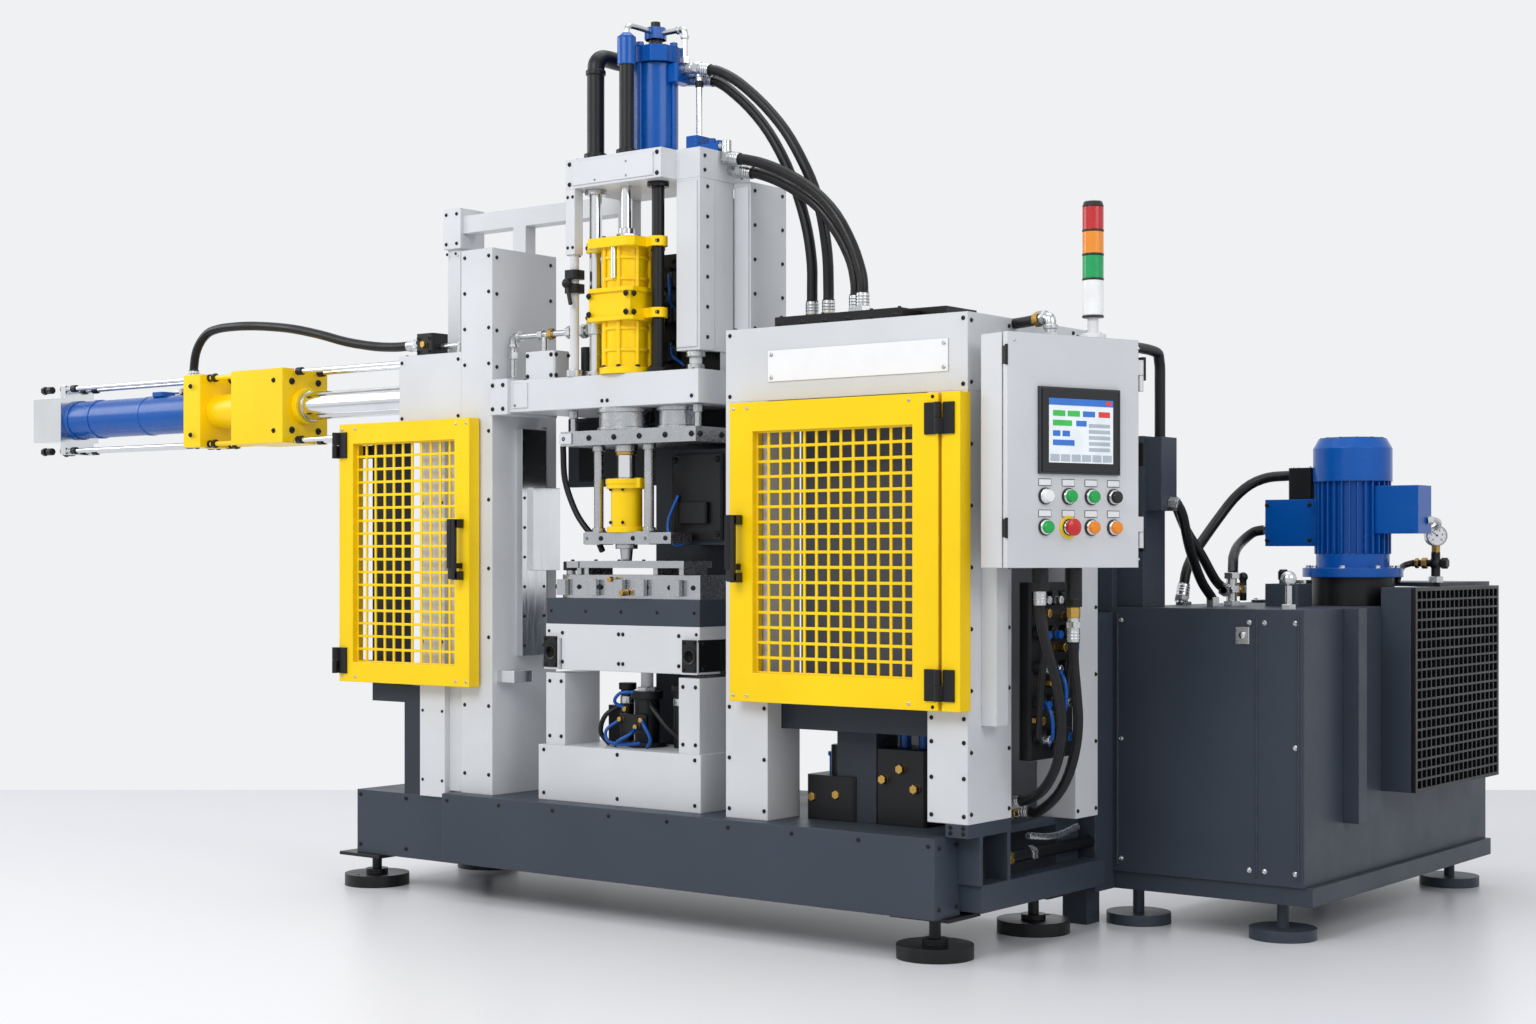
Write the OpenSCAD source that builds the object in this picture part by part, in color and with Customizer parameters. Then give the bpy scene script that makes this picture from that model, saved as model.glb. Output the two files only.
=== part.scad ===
// Core shooter: a press frame with a shoot head between two guarded bays, a
// horizontal ram on the left, a control box and a hydraulic unit on the right.
// Millimetres, +Z up. The origin is on the floor midway between the four
// machine feet; the shoot axis stands over x = 0 and the front faces -Y.

/* [Base] */
// Height of the base's top above the floor
base_top = 320; // [300:5:340]
// Clearance under the base beams
base_under = 115; // [100:5:130]
// Distance from the origin to the front and rear beams' outer faces
base_half_depth = 360; // [340:5:390]
// Thickness of the front and rear beams
beam_w = 117; // [100:1:130]
// Reach of the beams to the left
beam_left = 636; // [625:1:650]
// Reach of the beams to the right
beam_right = 1119; // [1110:1:1125]
// Left end of the wing under the left bay
wing_left = 1075; // [1060:5:1100]
// Thickness of the deck plate
deck_t = 20; // [12:1:30]
// Distance of the feet from the origin, sideways
foot_x = 1045; // [1035:5:1055]
// Distance of the feet from the origin, forwards and back
foot_y = 245; // [235:5:250]
// Diameter of a foot's disc
foot_d = 200; // [180:5:220]
// Thickness of a foot's disc
foot_disc_h = 36; // [25:1:45]
// Diameter of the foot's stem
foot_stem_d = 30; // [24:1:36]
// Diameter of the floor anchor hole in each disc
anchor_d = 14; // [11:1:16]
// Distance from a foot's centre out to its anchor hole
anchor_offset = 78; // [70:1:82]

/* [Bays] */
// Distance from the origin forward to the bays' front faces
bay_front = 310; // [300:1:320]
// Distance from the origin back to the bays' rear faces
bay_rear = 350; // [330:5:355]
// Right face of the right bay
bay_right = 1186; // [1180:1:1195]
// Width of the right bay
right_bay_w = 775; // [765:1:780]
// Width of the right bay's corner post
corner_post_w = 121; // [110:1:130]
// Depth of the right bay's corner post
corner_post_d = 208; // [190:1:220]
// Width and depth of the right bay's left post
inner_post_w = 143; // [130:1:150]
// Height of the bays' tops
bay_top = 1641; // [1635:1:1650]
// Height of the underside of the right bay's header
header_low = 1444; // [1430:1:1450]
// Left face of the left bay's cover
cover_left = 874; // [865:1:885]
// Height of the underside of the left bay's cover
cover_low = 1430; // [1420:1:1440]
// Thickness of the bay panels
panel_t = 10; // [5:1:14]

/* [Guard doors] */
// Width of the right door
right_door_w = 667; // [650:1:670]
// Width of the left door
left_door_w = 570; // [560:1:580]
// Height of the doors' lower edges
door_low = 640; // [635:1:660]
// Height of the doors
door_h = 798; // [780:1:802]
// Thickness of a door's frame
door_t = 42; // [30:1:46]
// Width of the right door's frame bars
right_rail_w = 78; // [60:1:90]
// Width of the left door's frame bars
left_rail_w = 62; // [50:1:75]
// Gap between a closed door and the bay
door_gap = 6; // [5:1:8]
// Pitch of the guard mesh
mesh_pitch = 39; // [36:1:48]
// Width of a mesh wire
mesh_wire = 8; // [5:1:10]
// Radius of a hinge's knuckles
hinge_r = 9; // [8:0.5:11]
// Height of one hinge
hinge_h = 80; // [60:2:100]
// Radius of a hinge pin
hinge_pin_r = 4; // [3:0.5:5]

/* [Press frame] */
// Width of the left column
column_w = 130; // [120:1:140]
// Right face of the left column
column_right = 475; // [470:1:480]
// Depth of the left column
column_d = 275; // [260:5:280]
// Height of the left column's top
column_top = 1943; // [1930:1:1960]
// Underside of the yoke
yoke_low = 1451; // [1446:1:1456]
// Thickness of the yoke
yoke_t = 93; // [85:1:98]
// Distance from the origin back to the yoke's rear edge
yoke_rear = 70; // [60:5:90]
// Thickness of the crosshead
crosshead_t = 84; // [75:1:90]
// Half the width of the crosshead's front
crosshead_half = 180; // [176:1:186]
// Radius of the guide columns
guide_r = 18; // [15:0.5:20]
// Distance from the shoot axis to a guide column
guide_x = 118; // [114:1:122]
// Distance of the shoot axis behind the bays' front faces
axis_back = 60; // [56:1:64]

/* [Shoot head] */
// Radius of the shoot head's tube
head_r = 65; // [60:1:68]
// Height of the shoot head's top face
head_top = 1929; // [1920:1:1935]
// Gap between the raised shoot head and the crosshead
head_clear = 54; // [40:1:60]
// Radius of the lifting rod
rod_r = 16; // [14:0.5:18]
// Upward travel of the shoot head
head_travel = 100; // [80:5:110]

/* [Table] */
// Half the width of the table
table_half = 290; // [280:1:295]
// Depth of the table
table_d = 210; // [200:5:220]
// Height of the table's underside
table_low = 700; // [698:1:702]
// Height of the platen's top
platen_top = 907; // [900:1:912]
// Height of the core box
core_box_h = 68; // [60:1:72]
// Radius of the lift rod
lift_rod_r = 18; // [15:0.5:22]

/* [Side ram] */
// Height of the side ram's axis
ram_z = 1522; // [1515:1:1530]
// Distance of the side ram's axis behind the bays' front faces
ram_back = 150; // [140:5:160]
// Radius of the blue barrel
ram_r = 67; // [60:1:70]
// Radius of the bright guide tube
ram_tube_r = 46; // [40:1:50]
// Length of the bright tube between the cover and the yellow block
ram_tube_len = 612; // [590:2:630]
// Length of the yellow block
ram_block_len = 260; // [250:2:270]
// Length of the yellow bracket
ram_bracket_len = 265; // [255:2:275]
// Length of the blue barrel
ram_barrel_len = 710; // [690:2:730]
// Length of the grey end cap
ram_cap_len = 165; // [155:1:175]

/* [Control box] */
// Width of the control box
control_w = 430; // [420:1:440]
// Height of the control box
control_h = 580; // [560:2:600]
// Depth of the control box with its door
control_d = 104; // [96:1:108]
// Height of the control box's underside
control_low = 999; // [985:1:1010]
// Direction that the control box's width runs in, from +X
control_turn = 71; // [66:1:74]
// Thickness of the control box's walls
control_wall = 4; // [3:1:6]

/* [Hydraulic unit] */
// Front face of the tank, behind the origin
tank_front = 490; // [480:5:500]
// Rear face of the tank, behind the origin
tank_rear = 1850; // [1800:10:1880]
// Left face of the tank
tank_left = 1156; // [1150:1:1165]
// Right face of the tank
tank_right = 1725; // [1715:1:1735]
// Underside of the tank
tank_low = 150; // [140:1:160]
// Height of the tank's top
tank_top = 886; // [880:1:900]
// Motor axis, sideways
motor_x = 1591; // [1585:1:1600]
// Motor axis, behind the origin
motor_y = 1130; // [1120:1:1140]
// Radius of the motor's body without fins
motor_r = 92; // [86:1:96]

/* [Hidden] */
fn = 48;
fit = 0.05;
tiny = 0.5;

front = -bay_front;
axis_y = front + axis_back;
beam_front = -base_half_depth;
right_bay_left = bay_right - right_bay_w;
yoke_top = yoke_low + yoke_t;
crosshead_low = head_top + head_travel + head_clear;
crosshead_top = crosshead_low + crosshead_t;
column_left = column_right + column_w;
door_front = front - door_gap - door_t;
door_top = door_low + door_h;
hinge_y = door_front - hinge_r - 2;
hinge_gap = 5;
right_hinge_x = 1134;
left_hinge_x = -1101;
foot_spots = [for (sx = [-1, 1], sy = [-1, 1]) [sx * foot_x, sy * foot_y]];
ram_y = front + ram_back;
ram_block_x = -cover_left - ram_tube_len;
ram_bracket_x = ram_block_x - ram_block_len;
ram_barrel_x = ram_bracket_x - ram_bracket_len;
ram_cap_x = ram_barrel_x - ram_barrel_len;
ram_end_x = ram_cap_x - ram_cap_len;
control_corner = [1329, -354];

// A box between two corners, given as ranges along X, Y and Z
module span(x, y, z)
  translate([x[0], y[0], z[0]])
    cube([x[1] - x[0], y[1] - y[0], z[1] - z[0]]);

// An upright cylinder at a spot between two heights
module post(at, z, r, r2 = undef)
  translate([at[0], at[1], z[0]])
    cylinder(h = z[1] - z[0], r1 = r, r2 = is_undef(r2) ? r : r2, $fn = fn);

// A cylinder along X between two places, on an axis at (y, z)
module bar_x(x, yz, r)
  translate([x[0], yz[0], yz[1]])
    rotate([0, 90, 0])
      cylinder(h = x[1] - x[0], r = r, $fn = fn);

// ---- base ----------------------------------------------------------------

module base_beams()
  color("#3f4650")
    for (y = [beam_front, -beam_front - beam_w])
      span([-beam_left, beam_right], [y, y + beam_w], [base_under, base_top]);

module base_deck()
  color("#343a43")
    span([-beam_left, beam_right], [beam_front + beam_w, -beam_front - beam_w],
         [base_top - deck_t, base_top]);

module base_left_wing()
  color("#3f4650")
    span([-wing_left, -beam_left], [front + 10, base_half_depth], [base_under - 12, base_top - 20]);

pillar_y = tank_front - 100;
rail_h = 70;
rail_low = 125;
end_plate_t = 35;
flange_t = 14;

module base_right_end()
  color("#3f4650") {
    span([beam_right, bay_right], [beam_front + beam_w, pillar_y], [rail_low, rail_low + rail_h]);
    for (y = [front + 56, front + 190])
      span([beam_right, bay_right], [y, y + flange_t], [rail_low + rail_h, base_top]);
    span([beam_right, bay_right], [front, front + corner_post_d], [base_top, base_top + end_plate_t]);
  }

module machine_foot(at, top)
  difference() {
    union() {
      post(at, [0, foot_disc_h], foot_d / 2);
      post(at, [foot_disc_h, foot_disc_h + 14], 34);
      post(at, [foot_disc_h, top], foot_stem_d / 2);
      translate([at[0] - 90, at[1] - 75, top - 10])
        cube([180, 150, 10]);
    }
    post([at[0], at[1] + sign(at[1]) * anchor_offset], [-1, foot_disc_h + 1], anchor_d / 2);
  }

module machine_feet()
  color("#202226")
    for (at = foot_spots)
      machine_foot(at, at[0] < 0 ? base_under - 12 : base_under);

// ---- right bay -----------------------------------------------------------

module right_bay_posts()
  color("#d4d6d8") {
    span([bay_right - corner_post_w, bay_right], [front, front + corner_post_d],
         [base_top + end_plate_t, header_low]);
    span([right_bay_left, right_bay_left + inner_post_w], [front, front + inner_post_w],
         [base_top, header_low]);
    for (x = [right_bay_left, bay_right - corner_post_w])
      span([x, x + corner_post_w], [bay_rear - corner_post_w, bay_rear], [base_top, header_low]);
  }

roof_t = 110;

module right_bay_top()
  color("#d4d6d8") {
    span([right_bay_left, bay_right], [front, front + corner_post_d], [header_low, bay_top]);
    span([right_bay_left, bay_right], [front + corner_post_d, bay_rear], [bay_top - roof_t, bay_top]);
    for (x = [right_bay_left, bay_right - corner_post_w])
      span([x, x + corner_post_w], [bay_rear - corner_post_w, bay_rear],
           [header_low, bay_top - roof_t]);
  }

module right_bay_panels()
  color("#c9cbcd") {
    span([right_bay_left + inner_post_w, bay_right - corner_post_w], [front + 150, front + 150 + panel_t],
         [door_low - 5, header_low]);
    span([right_bay_left + corner_post_w, bay_right - corner_post_w], [bay_rear - panel_t, bay_rear],
         [base_top, header_low]);
  }

skirt_low = 565;

// ---- doors ---------------------------------------------------------------

// A door leaf in the XZ plane between two sides, with a window of rail width
module door_leaf(x, rail)
  difference() {
    span(x, [door_front, door_front + door_t], [door_low, door_top]);
    span([x[0] + rail, x[1] - rail], [door_front - 1, door_front + door_t + 1],
         [door_low + rail, door_top - rail]);
  }

// The mesh that fills a leaf's window: flat wires fused where they cross
module door_mesh(x, rail) {
  w = x[1] - x[0] - 2 * rail;
  h = door_h - 2 * rail;
  nx = round(w / mesh_pitch);
  nz = round(h / mesh_pitch);
  hole = [w / nx - mesh_wire, h / nz - mesh_wire];
  translate([x[0] + rail, door_front + door_t / 2 + 2, door_low + rail])
    rotate([90, 0, 0])
      linear_extrude(height = 4)
        difference() {
          square([w, h]);
          for (i = [0:nx - 1], j = [0:nz - 1])
            translate([i * w / nx + mesh_wire / 2, j * h / nz + mesh_wire / 2])
              square(hole);
        }
}

hinge_lows = [door_low + 25, door_top - 25 - hinge_h];
leaf_t = 6;
leaf_w = 32;

// Half of a hinge on a front face: a knuckle, its arm, and a leaf to one side.
// The lower half carries the pin and the upper half is bored for it.
module hinge_half(at, z, side, upper) {
  rise = upper ? [z + hinge_h / 2 + 1, z + hinge_h] : [z, z + hinge_h / 2];
  near = at[0] + side * (hinge_r + 3);
  far = near + side * leaf_w;
  difference() {
    union() {
      post(at, rise, hinge_r);
      span([min(at[0], near), max(at[0], near)], [at[1], door_front], rise);
      span([min(near, far), max(near, far)], [door_front - leaf_t, door_front], [z, z + hinge_h]);
    }
    if (upper)
      post(at, [z, z + hinge_h - 6], hinge_pin_r + fit);
  }
  if (!upper)
    post(at, [z + hinge_h / 2, z + hinge_h - 8], hinge_pin_r);
}

// A bow handle on a leaf's front: two studs and a grip
module bow_handle(x, z) {
  for (end = z)
    span([x - 8, x + 8], [door_front - 38, door_front], [end - 8, end + 8]);
  span([x - 8, x + 8], [door_front - 50, door_front - 36], [z[0] - 8, z[1] + 8]);
}

right_door_x = [right_hinge_x - hinge_gap - right_door_w, right_hinge_x - hinge_gap];
left_door_x = [left_hinge_x + hinge_gap + 3, left_hinge_x + hinge_gap + 3 + left_door_w];
handle_z = [1000, 1130];

module hinge_strip()
  color("#f2c500") {
    span([right_hinge_x + hinge_gap, bay_right + 8], [door_front, front], [door_low, door_top]);
  }

module right_door()
  color("#f2c500") {
    door_leaf(right_door_x, right_rail_w);
    door_mesh(right_door_x, right_rail_w);
  }

module right_door_fittings()
  color("#202226") {
    for (z = hinge_lows) {
      hinge_half([right_hinge_x, hinge_y], z, -1, true);
    }
    bow_handle(right_door_x[0] + 30, handle_z);
  }

module left_door()
  color("#f2c500") {
    door_leaf(left_door_x, left_rail_w);
    door_mesh(left_door_x, left_rail_w);
  }

module left_door_fittings()
  color("#202226") {
    for (z = hinge_lows) {
      hinge_half([left_hinge_x, hinge_y], z, 1, true);
    }
    bow_handle(left_door_x[1] - 36, handle_z);
  }

// ---- left bay ------------------------------------------------------------

post_a = [-783, -675];

module left_bay()
  color("#d4d6d8") {
    span([-cover_left, -column_left], [front, 80], [cover_low, bay_top]);
    span(post_a, [front, front + 110], [base_top - 20, cover_low]);
    span([post_a[1], -column_left], [front + 20, front + 30], [base_top, cover_low]);
  }

module dark_frames()
  color("#343a43") {
    span([right_bay_left + inner_post_w, bay_right - corner_post_w], [front + 60, front + 260],
         [skirt_low, door_low - 5]);
    span([697, 824], [front + 120, front + 220], [base_top, skirt_low]);
    span([-862, -784], [front + 10, front + 90], [base_top - 20, 580]);
    span([-1006, -784], [front + 10, front + 85], [580, 632]);
    span([-1006, -905], [front + 10, front + 85], [632, cover_low]);
    span([-905, -784], [front + 10, front + 85], [cover_low - 50, cover_low]);
  }

// ---- left column and what stands beside it --------------------------------

column_y = [front, front + column_d];

module left_column()
  color("#d4d6d8")
    difference() {
      span([-column_left, -column_right], column_y, [base_top, column_top]);
      span([-column_right - 12, -column_right + 1], [front + 216, front + 236], [690, 1420]);
    }

strut_y = [front + 232, front + 284];
strut_z = [2042, 2098];

module rear_strut()
  color("#d4d6d8") {
    span([-900, -845], strut_y, [bay_top, 1996]);
    span([-908, -832], [strut_y[0] - 12, strut_y[1] + 40], [1996, 2122]);
    span([-832, -crosshead_half], strut_y, strut_z);
    span([-crosshead_half - 4, -crosshead_half + 40], strut_y, [1960, crosshead_low]);
    span([-615, -562], [strut_y[0], column_y[1]], [column_top, strut_z[0]]);
  }

// ---- press frame and tower -------------------------------------------------

module yoke_beam()
  color("#d4d6d8") {
    span([-column_right, -401], [front - 12, front + 200], [yoke_low - 6, yoke_top + 6]);
    span([-401, 314], [front, yoke_rear], [yoke_low, yoke_top]);
    span([314, right_bay_left], [front + 150, front + corner_post_d], [yoke_low, yoke_top]);
  }

module crosshead()
  color("#d4d6d8")
    difference() {
      union() {
        span([-crosshead_half, crosshead_half], [front, -20], [crosshead_low, crosshead_top]);
        span([crosshead_half, 267], [front + 64, -20], [crosshead_low, crosshead_top]);
      }
      post([0, axis_y], [crosshead_low - 1, crosshead_top + 1], rod_r + fit);
    }

module guide_columns()
  color("#c8ccd0") {
    for (x = [-guide_x, guide_x])
      post([x, axis_y], [yoke_top, crosshead_low], guide_r);
    span([-column_right, -column_right + 22], [front + 104, front + 208], [730, 1410]);
    span([-column_right + 22, -column_right + 34], [front + 138, front + 256], [986, 1235]);
    span([-column_right, -column_right + 70], [front + 20, front + 96], [655, 690]);
  }

module tower_posts()
  color("#d4d6d8") {
    span([-crosshead_half, -145], [front, front + 34], [1895, crosshead_low]);
    post([-162, front + 18], [yoke_top, 1895], 13);
    span([183, 267], [front + 64, front + 130], [1603, crosshead_low]);
    post([225, front + 97], [yoke_top, 1603], 18);
    span([268, 328], [front + 216, yoke_rear], [yoke_top, crosshead_low]);
  }

module valve_boxes()
  color("#202226") {
    span([120, 262], [front + 160, front + 250], [yoke_top, crosshead_low - 40]);
    span([430, 980], [front + corner_post_d + 10, front + corner_post_d + 160], [bay_top, bay_top + 48]);
  }

cylinder_y = front + 187;
cylinder_r = 66;

module top_cylinder()
  color("#1450ab") {
    post([0, cylinder_y], [crosshead_top, 2446], cylinder_r);
    post([0, cylinder_y], [2446, 2493], cylinder_r + 12);
    post([0, cylinder_y], [2493, 2522], 20);
    post([0, cylinder_y], [2522, 2556], 30);
    post([0, cylinder_y], [2556, 2574], 14);
  }

housing_r = 21;

module riser_pipes()
  color("#202226")
    difference() {
      post([0, axis_y], [crosshead_top, 2500], housing_r);
      post([0, axis_y], [crosshead_top - 1, 2420], rod_r + 2);
    }

// ---- shoot head --------------------------------------------------------------

head_axis = [0, axis_y];

module shoot_head()
  color("#f2c500")
    difference() {
      union() {
        post(head_axis, [yoke_top + tiny, yoke_top + 20], head_r + 12);
        post(head_axis, [yoke_top + tiny, head_top - 10], head_r);
        span([-78, 78], [axis_y - 74, axis_y + 74], [1693, 1787]);
        for (z = [1700, head_top - 28]) {
          span([-guide_x, guide_x], [axis_y - 20, axis_y + 20], [z, z + 28]);
          for (x = [-guide_x, guide_x])
            post([x, axis_y], [z, z + 28], guide_r + 9);
        }
        post(head_axis, [head_top - 28, head_top], head_r + 18);
      }
      for (x = [-guide_x, guide_x])
        post([x, axis_y], [yoke_top, head_top + 1], guide_r + fit);
    }

module shoot_rod()
  color("#c8ccd0")
    post(head_axis, [head_top, crosshead_top + 60], rod_r);

// ---- blow unit under the yoke ---------------------------------------------------

blow_plate_low = 1345;
blow_plate_t = 42;
ring_z = [1063, 1095];

module blow_unit()
  color("#c8ccd0") {
    post([-20, front + 85], [blow_plate_low + blow_plate_t, yoke_low], 80);
    post([170, front + 95], [blow_plate_low + blow_plate_t, yoke_low], 60);
    span([-205, 300], [front + 5, front + 235], [blow_plate_low, blow_plate_low + blow_plate_t]);
  }

module blow_cylinder()
  color("#f2c500") {
    post(head_axis, [ring_z[1], 1220], 45);
    post(head_axis, [1220, 1248], 58);
    post(head_axis, [1248, blow_plate_low], 24);
  }

module blow_rods()
  color("#c8ccd0") {
    for (x = [-95, 95])
      post([x, axis_y - 12], [ring_z[1], blow_plate_low], 14);
    span([-128, 200], [front + 18, front + 110], ring_z);
    post(head_axis, [1000, ring_z[0]], 14, 20);
  }

module rear_panels()
  color("#202226") {
    span([-column_right, -60], [20, 40], [1240, yoke_low]);
    span([-60, 300], [-50, -30], [base_top, yoke_low]);
    span([110, 300], [-170, -50], [1060, 1330]);
  }

// ---- table -------------------------------------------------------------------------

table_y = [front + 35, front + 35 + table_d];
leg_top = table_low - 10;
pedestal_top = 480;
lift_axis = [0, front + 150];

module pedestal()
  color("#d4d6d8") {
    span([-306, 306], [table_y[0] - 15, table_y[1]], [base_top, pedestal_top]);
    for (x = [-table_half, table_half - 75])
      span([x, x + 75], [table_y[0], table_y[0] + 150], [pedestal_top, leg_top]);
  }

module lift_cylinder()
  color("#202226")
    difference() {
      post(lift_axis, [pedestal_top, 640], 36);
      post(lift_axis, [pedestal_top + 10, 641], lift_rod_r + fit);
    }

module table()
  color("#d4d6d8") {
    span([-228, 228], table_y, [table_low, 790]);
    span([-table_half, table_half], table_y, [790, 832]);
    for (x = [-table_half, 232])
      span([x, x + 58], [table_y[0] - 10, table_y[0] + 90], [table_low, 790]);
    post(lift_axis, [560, table_low], lift_rod_r);
  }

module platen()
  color("#343a43")
    span([-table_half, table_half], table_y, [832, platen_top]);

box_top = platen_top + core_box_h;

module core_box()
  color("#c8ccd0") {
    post([-table_half + 105, table_y[0] + 105], [platen_top, box_top], 100);
    span([-table_half + 105, table_half - 5], [table_y[0] + 8, table_y[1] - 8], [platen_top, box_top]);
    difference() {
      span([-145, 245], [table_y[0] - 15, table_y[0] + 110], [995, 1015]);
      post(head_axis, [990, 1020], 34);
    }
    for (x = [-135, 220])
      span([x, x + 16], [table_y[0] - 5, table_y[0] + 100], [box_top, 995]);
  }

// ---- side ram ------------------------------------------------------------------------

ram_axis = [ram_y, ram_z];
tie_rod_r = 8;
tie_rod_out = 112;

// Four tie rods around the ram's axis, between two places
module tie_rods(x)
  for (sy = [-1, 1], sz = [-1, 1])
    bar_x(x, [ram_y + sy * 45, ram_z + sz * tie_rod_out], tie_rod_r);

module ram_frame()
  color("#c8ccd0") {
    bar_x([ram_block_x, -cover_left], ram_axis, ram_tube_r);
    tie_rods([ram_block_x, -cover_left]);
    span([ram_end_x, ram_cap_x], [ram_y - 80, ram_y + 80], [ram_z - 80, ram_z + 80]);
    span([ram_cap_x - 30, ram_cap_x], [ram_y - 60, ram_y + 60], [ram_z - 125, ram_z + 125]);
    tie_rods([ram_cap_x, ram_barrel_x]);
  }

module ram_barrel()
  color("#1450ab")
    bar_x([ram_cap_x, ram_barrel_x], ram_axis, ram_r);

module ram_bracket()
  color("#f2c500") {
    span([ram_bracket_x, ram_block_x], [ram_y - 95, ram_y + 95], [ram_z - 122, ram_z + 122]);
    span([ram_barrel_x, ram_barrel_x + 90], [ram_y - 85, ram_y + 85], [ram_z - 123, ram_z + 123]);
    bar_x([ram_barrel_x + 90, ram_bracket_x], ram_axis, 58);
    tie_rods([ram_barrel_x + 90, ram_bracket_x]);
  }

// ---- control box -----------------------------------------------------------------------

control_top = control_low + control_h;
control_gap = 5;
control_door_t = 18;
control_hinge = [control_w + 12, 4];
control_knuckle_r = 7;

// Everything drawn in the control box's own frame: X across its front, Y into it
module at_control()
  translate([control_corner[0], control_corner[1], 0])
    rotate([0, 0, control_turn])
      children();

control_hinge_lows = [control_low + 50, control_top - 50 - hinge_h];
arm_lows = [control_low + 60, control_top - 130];

module control_box()
  color("#d4d6d8")
    at_control() {
      y0 = control_door_t + control_gap;
      difference() {
        span([0, control_w], [y0, control_d], [control_low, control_top]);
        span([control_wall, control_w - control_wall], [y0 - 1, control_d - control_wall],
             [control_low + control_wall, control_top - control_wall]);
      }
      for (z = control_hinge_lows) {
        span([control_w, control_w + 6], [y0, y0 + 40], [z, z + hinge_h / 2]);
        span([control_w + 6, control_hinge[0]], [0, y0 + 8], [z, z + hinge_h / 2]);
        post(control_hinge, [z, z + hinge_h / 2], control_knuckle_r);
        post(control_hinge, [z + hinge_h / 2 - tiny, z + hinge_h - 8], hinge_pin_r);
      }
    }

module control_arms()
  color("#d4d6d8") {
    for (z = arm_lows)
      difference() {
        span([bay_right, bay_right + 260], [front + 60, front + 120], [z, z + 60]);
        at_control()
          span([-200, control_w + 200], [-300, control_d], [z - 1, z + 61]);
      }
    span([bay_right, bay_right + 46], [front + 62, front + 118], [600, arm_lows[0]]);
  }

module control_door()
  color("#d4d6d8")
    difference() {
      at_control() {
        span([0, control_w], [0, control_door_t], [control_low, control_top]);
        for (z = control_hinge_lows) {
          span([control_w, control_hinge[0]], [0, 8], [z + hinge_h / 2 + 1, z + hinge_h]);
          post(control_hinge, [z + hinge_h / 2 + 1, z + hinge_h], control_knuckle_r);
        }
      }
      at_control()
        for (z = control_hinge_lows)
          post(control_hinge, [z, z + hinge_h - 6], hinge_pin_r + fit);
    }

button_x = [118, 194, 269, 344];
button_z = [1100, 1177];

module operator_panel()
  color("#202226")
    at_control() {
      span([95, 360], [-9, 0], [1232, 1448]);
      for (x = button_x, z = button_z)
        translate([x, 0, z])
          rotate([90, 0, 0])
            cylinder(h = 20, r = 14, $fn = 32);
    }

module stack_light()
  color("#e8e8e8")
    at_control() {
      spot = [330, 60];
      post(spot, [control_top, control_top + 14], 34);
      post(spot, [control_top + 14, control_top + 61], 13);
      post(spot, [control_top + 61, control_top + 346], 25);
      post(spot, [control_top + 346, control_top + 354], 22);
    }

// ---- hydraulic unit -------------------------------------------------------------------------

skid_low = 100;

module tank()
  color("#3f4650")
    span([tank_left, tank_right], [tank_front, tank_rear], [tank_low, tank_top]);

module tank_skid()
  color("#343a43") {
    span([tank_left, tank_right + 20], [tank_front + 10, tank_rear - 10], [skid_low, tank_low]);
    for (x = [tank_left + 40, tank_right - 95], y = [tank_front + 77, tank_rear - 56]) {
      post([x, y], [0, 30], 90);
      post([x, y], [30, skid_low], 16);
    }
  }

module hpu_pillars()
  color("#3f4650") {
    span([1056, tank_left], [pillar_y, tank_front], [skid_low, 870]);
    span([1030, 1108], [430, 500], [0, skid_low]);
    span([1010, tank_left], [tank_front, 640], [skid_low, 1363]);
    span([tank_left, 1240], [tank_front + 20, 640], [tank_top, 1363]);
    span([1240, 1292], [520, 610], [1155, 1360]);
  }

cooler_y = [1010, 1680];
cooler_z = [365, 940];
cooler_out = 1812;

module cooler_box()
  color("#3f4650") {
    difference() {
      span([tank_right, cooler_out], cooler_y, cooler_z);
      span([cooler_out - 30, cooler_out + 1], [cooler_y[0] + 20, cooler_y[1] - 20],
           [cooler_z[0] + 15, cooler_z[1] - 15]);
    }
    span([tank_right, tank_right + 45], [745, 800], [300, tank_top]);
    span([tank_left + 300, 1790], [motor_y + 160, 1700], [cooler_z[1], cooler_z[1] + 12]);
  }

module cooler_grille()
  color("#202226")
    translate([cooler_out, cooler_y[0], cooler_z[0]])
      rotate([90, 0, 90])
        linear_extrude(height = 14)
          difference() {
            w = cooler_y[1] - cooler_y[0];
            h = cooler_z[1] - cooler_z[0];
            nx = 18;
            nz = 20;
            square([w, h]);
            for (i = [0:nx - 1], j = [0:nz - 1])
              translate([14 + i * (w - 22) / nx, 10 + j * (h - 14) / nz])
                square([(w - 22) / nx - 6, (h - 14) / nz - 6]);
          }

bell_top = 968;
fins = 30;

module drive_motor()
  color("#1450ab") {
    post([motor_x, motor_y], [bell_top, 994], 142);
    post([motor_x, motor_y], [994, 1035], 104);
    translate([motor_x, motor_y, 1035])
      linear_extrude(height = 209) {
        circle(r = motor_r, $fn = fn);
        for (i = [0:fins - 1])
          rotate([0, 0, i * 360 / fins])
            translate([0, -2])
              square([motor_r + 16, 4]);
      }
    post([motor_x, motor_y], [1244, 1340], 112);
    post([motor_x, motor_y], [1340, 1369], 112, 96);
    span([motor_x - 250, motor_x - 80], [motor_y - 50, motor_y + 50], [1058, 1195]);
    span([motor_x + 80, motor_x + 215], [motor_y - 50, motor_y + 50], [1093, 1230]);
  }

module pump_fittings()
  color("#202226")
    post([motor_x, motor_y], [tank_top, bell_top], 118);

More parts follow.
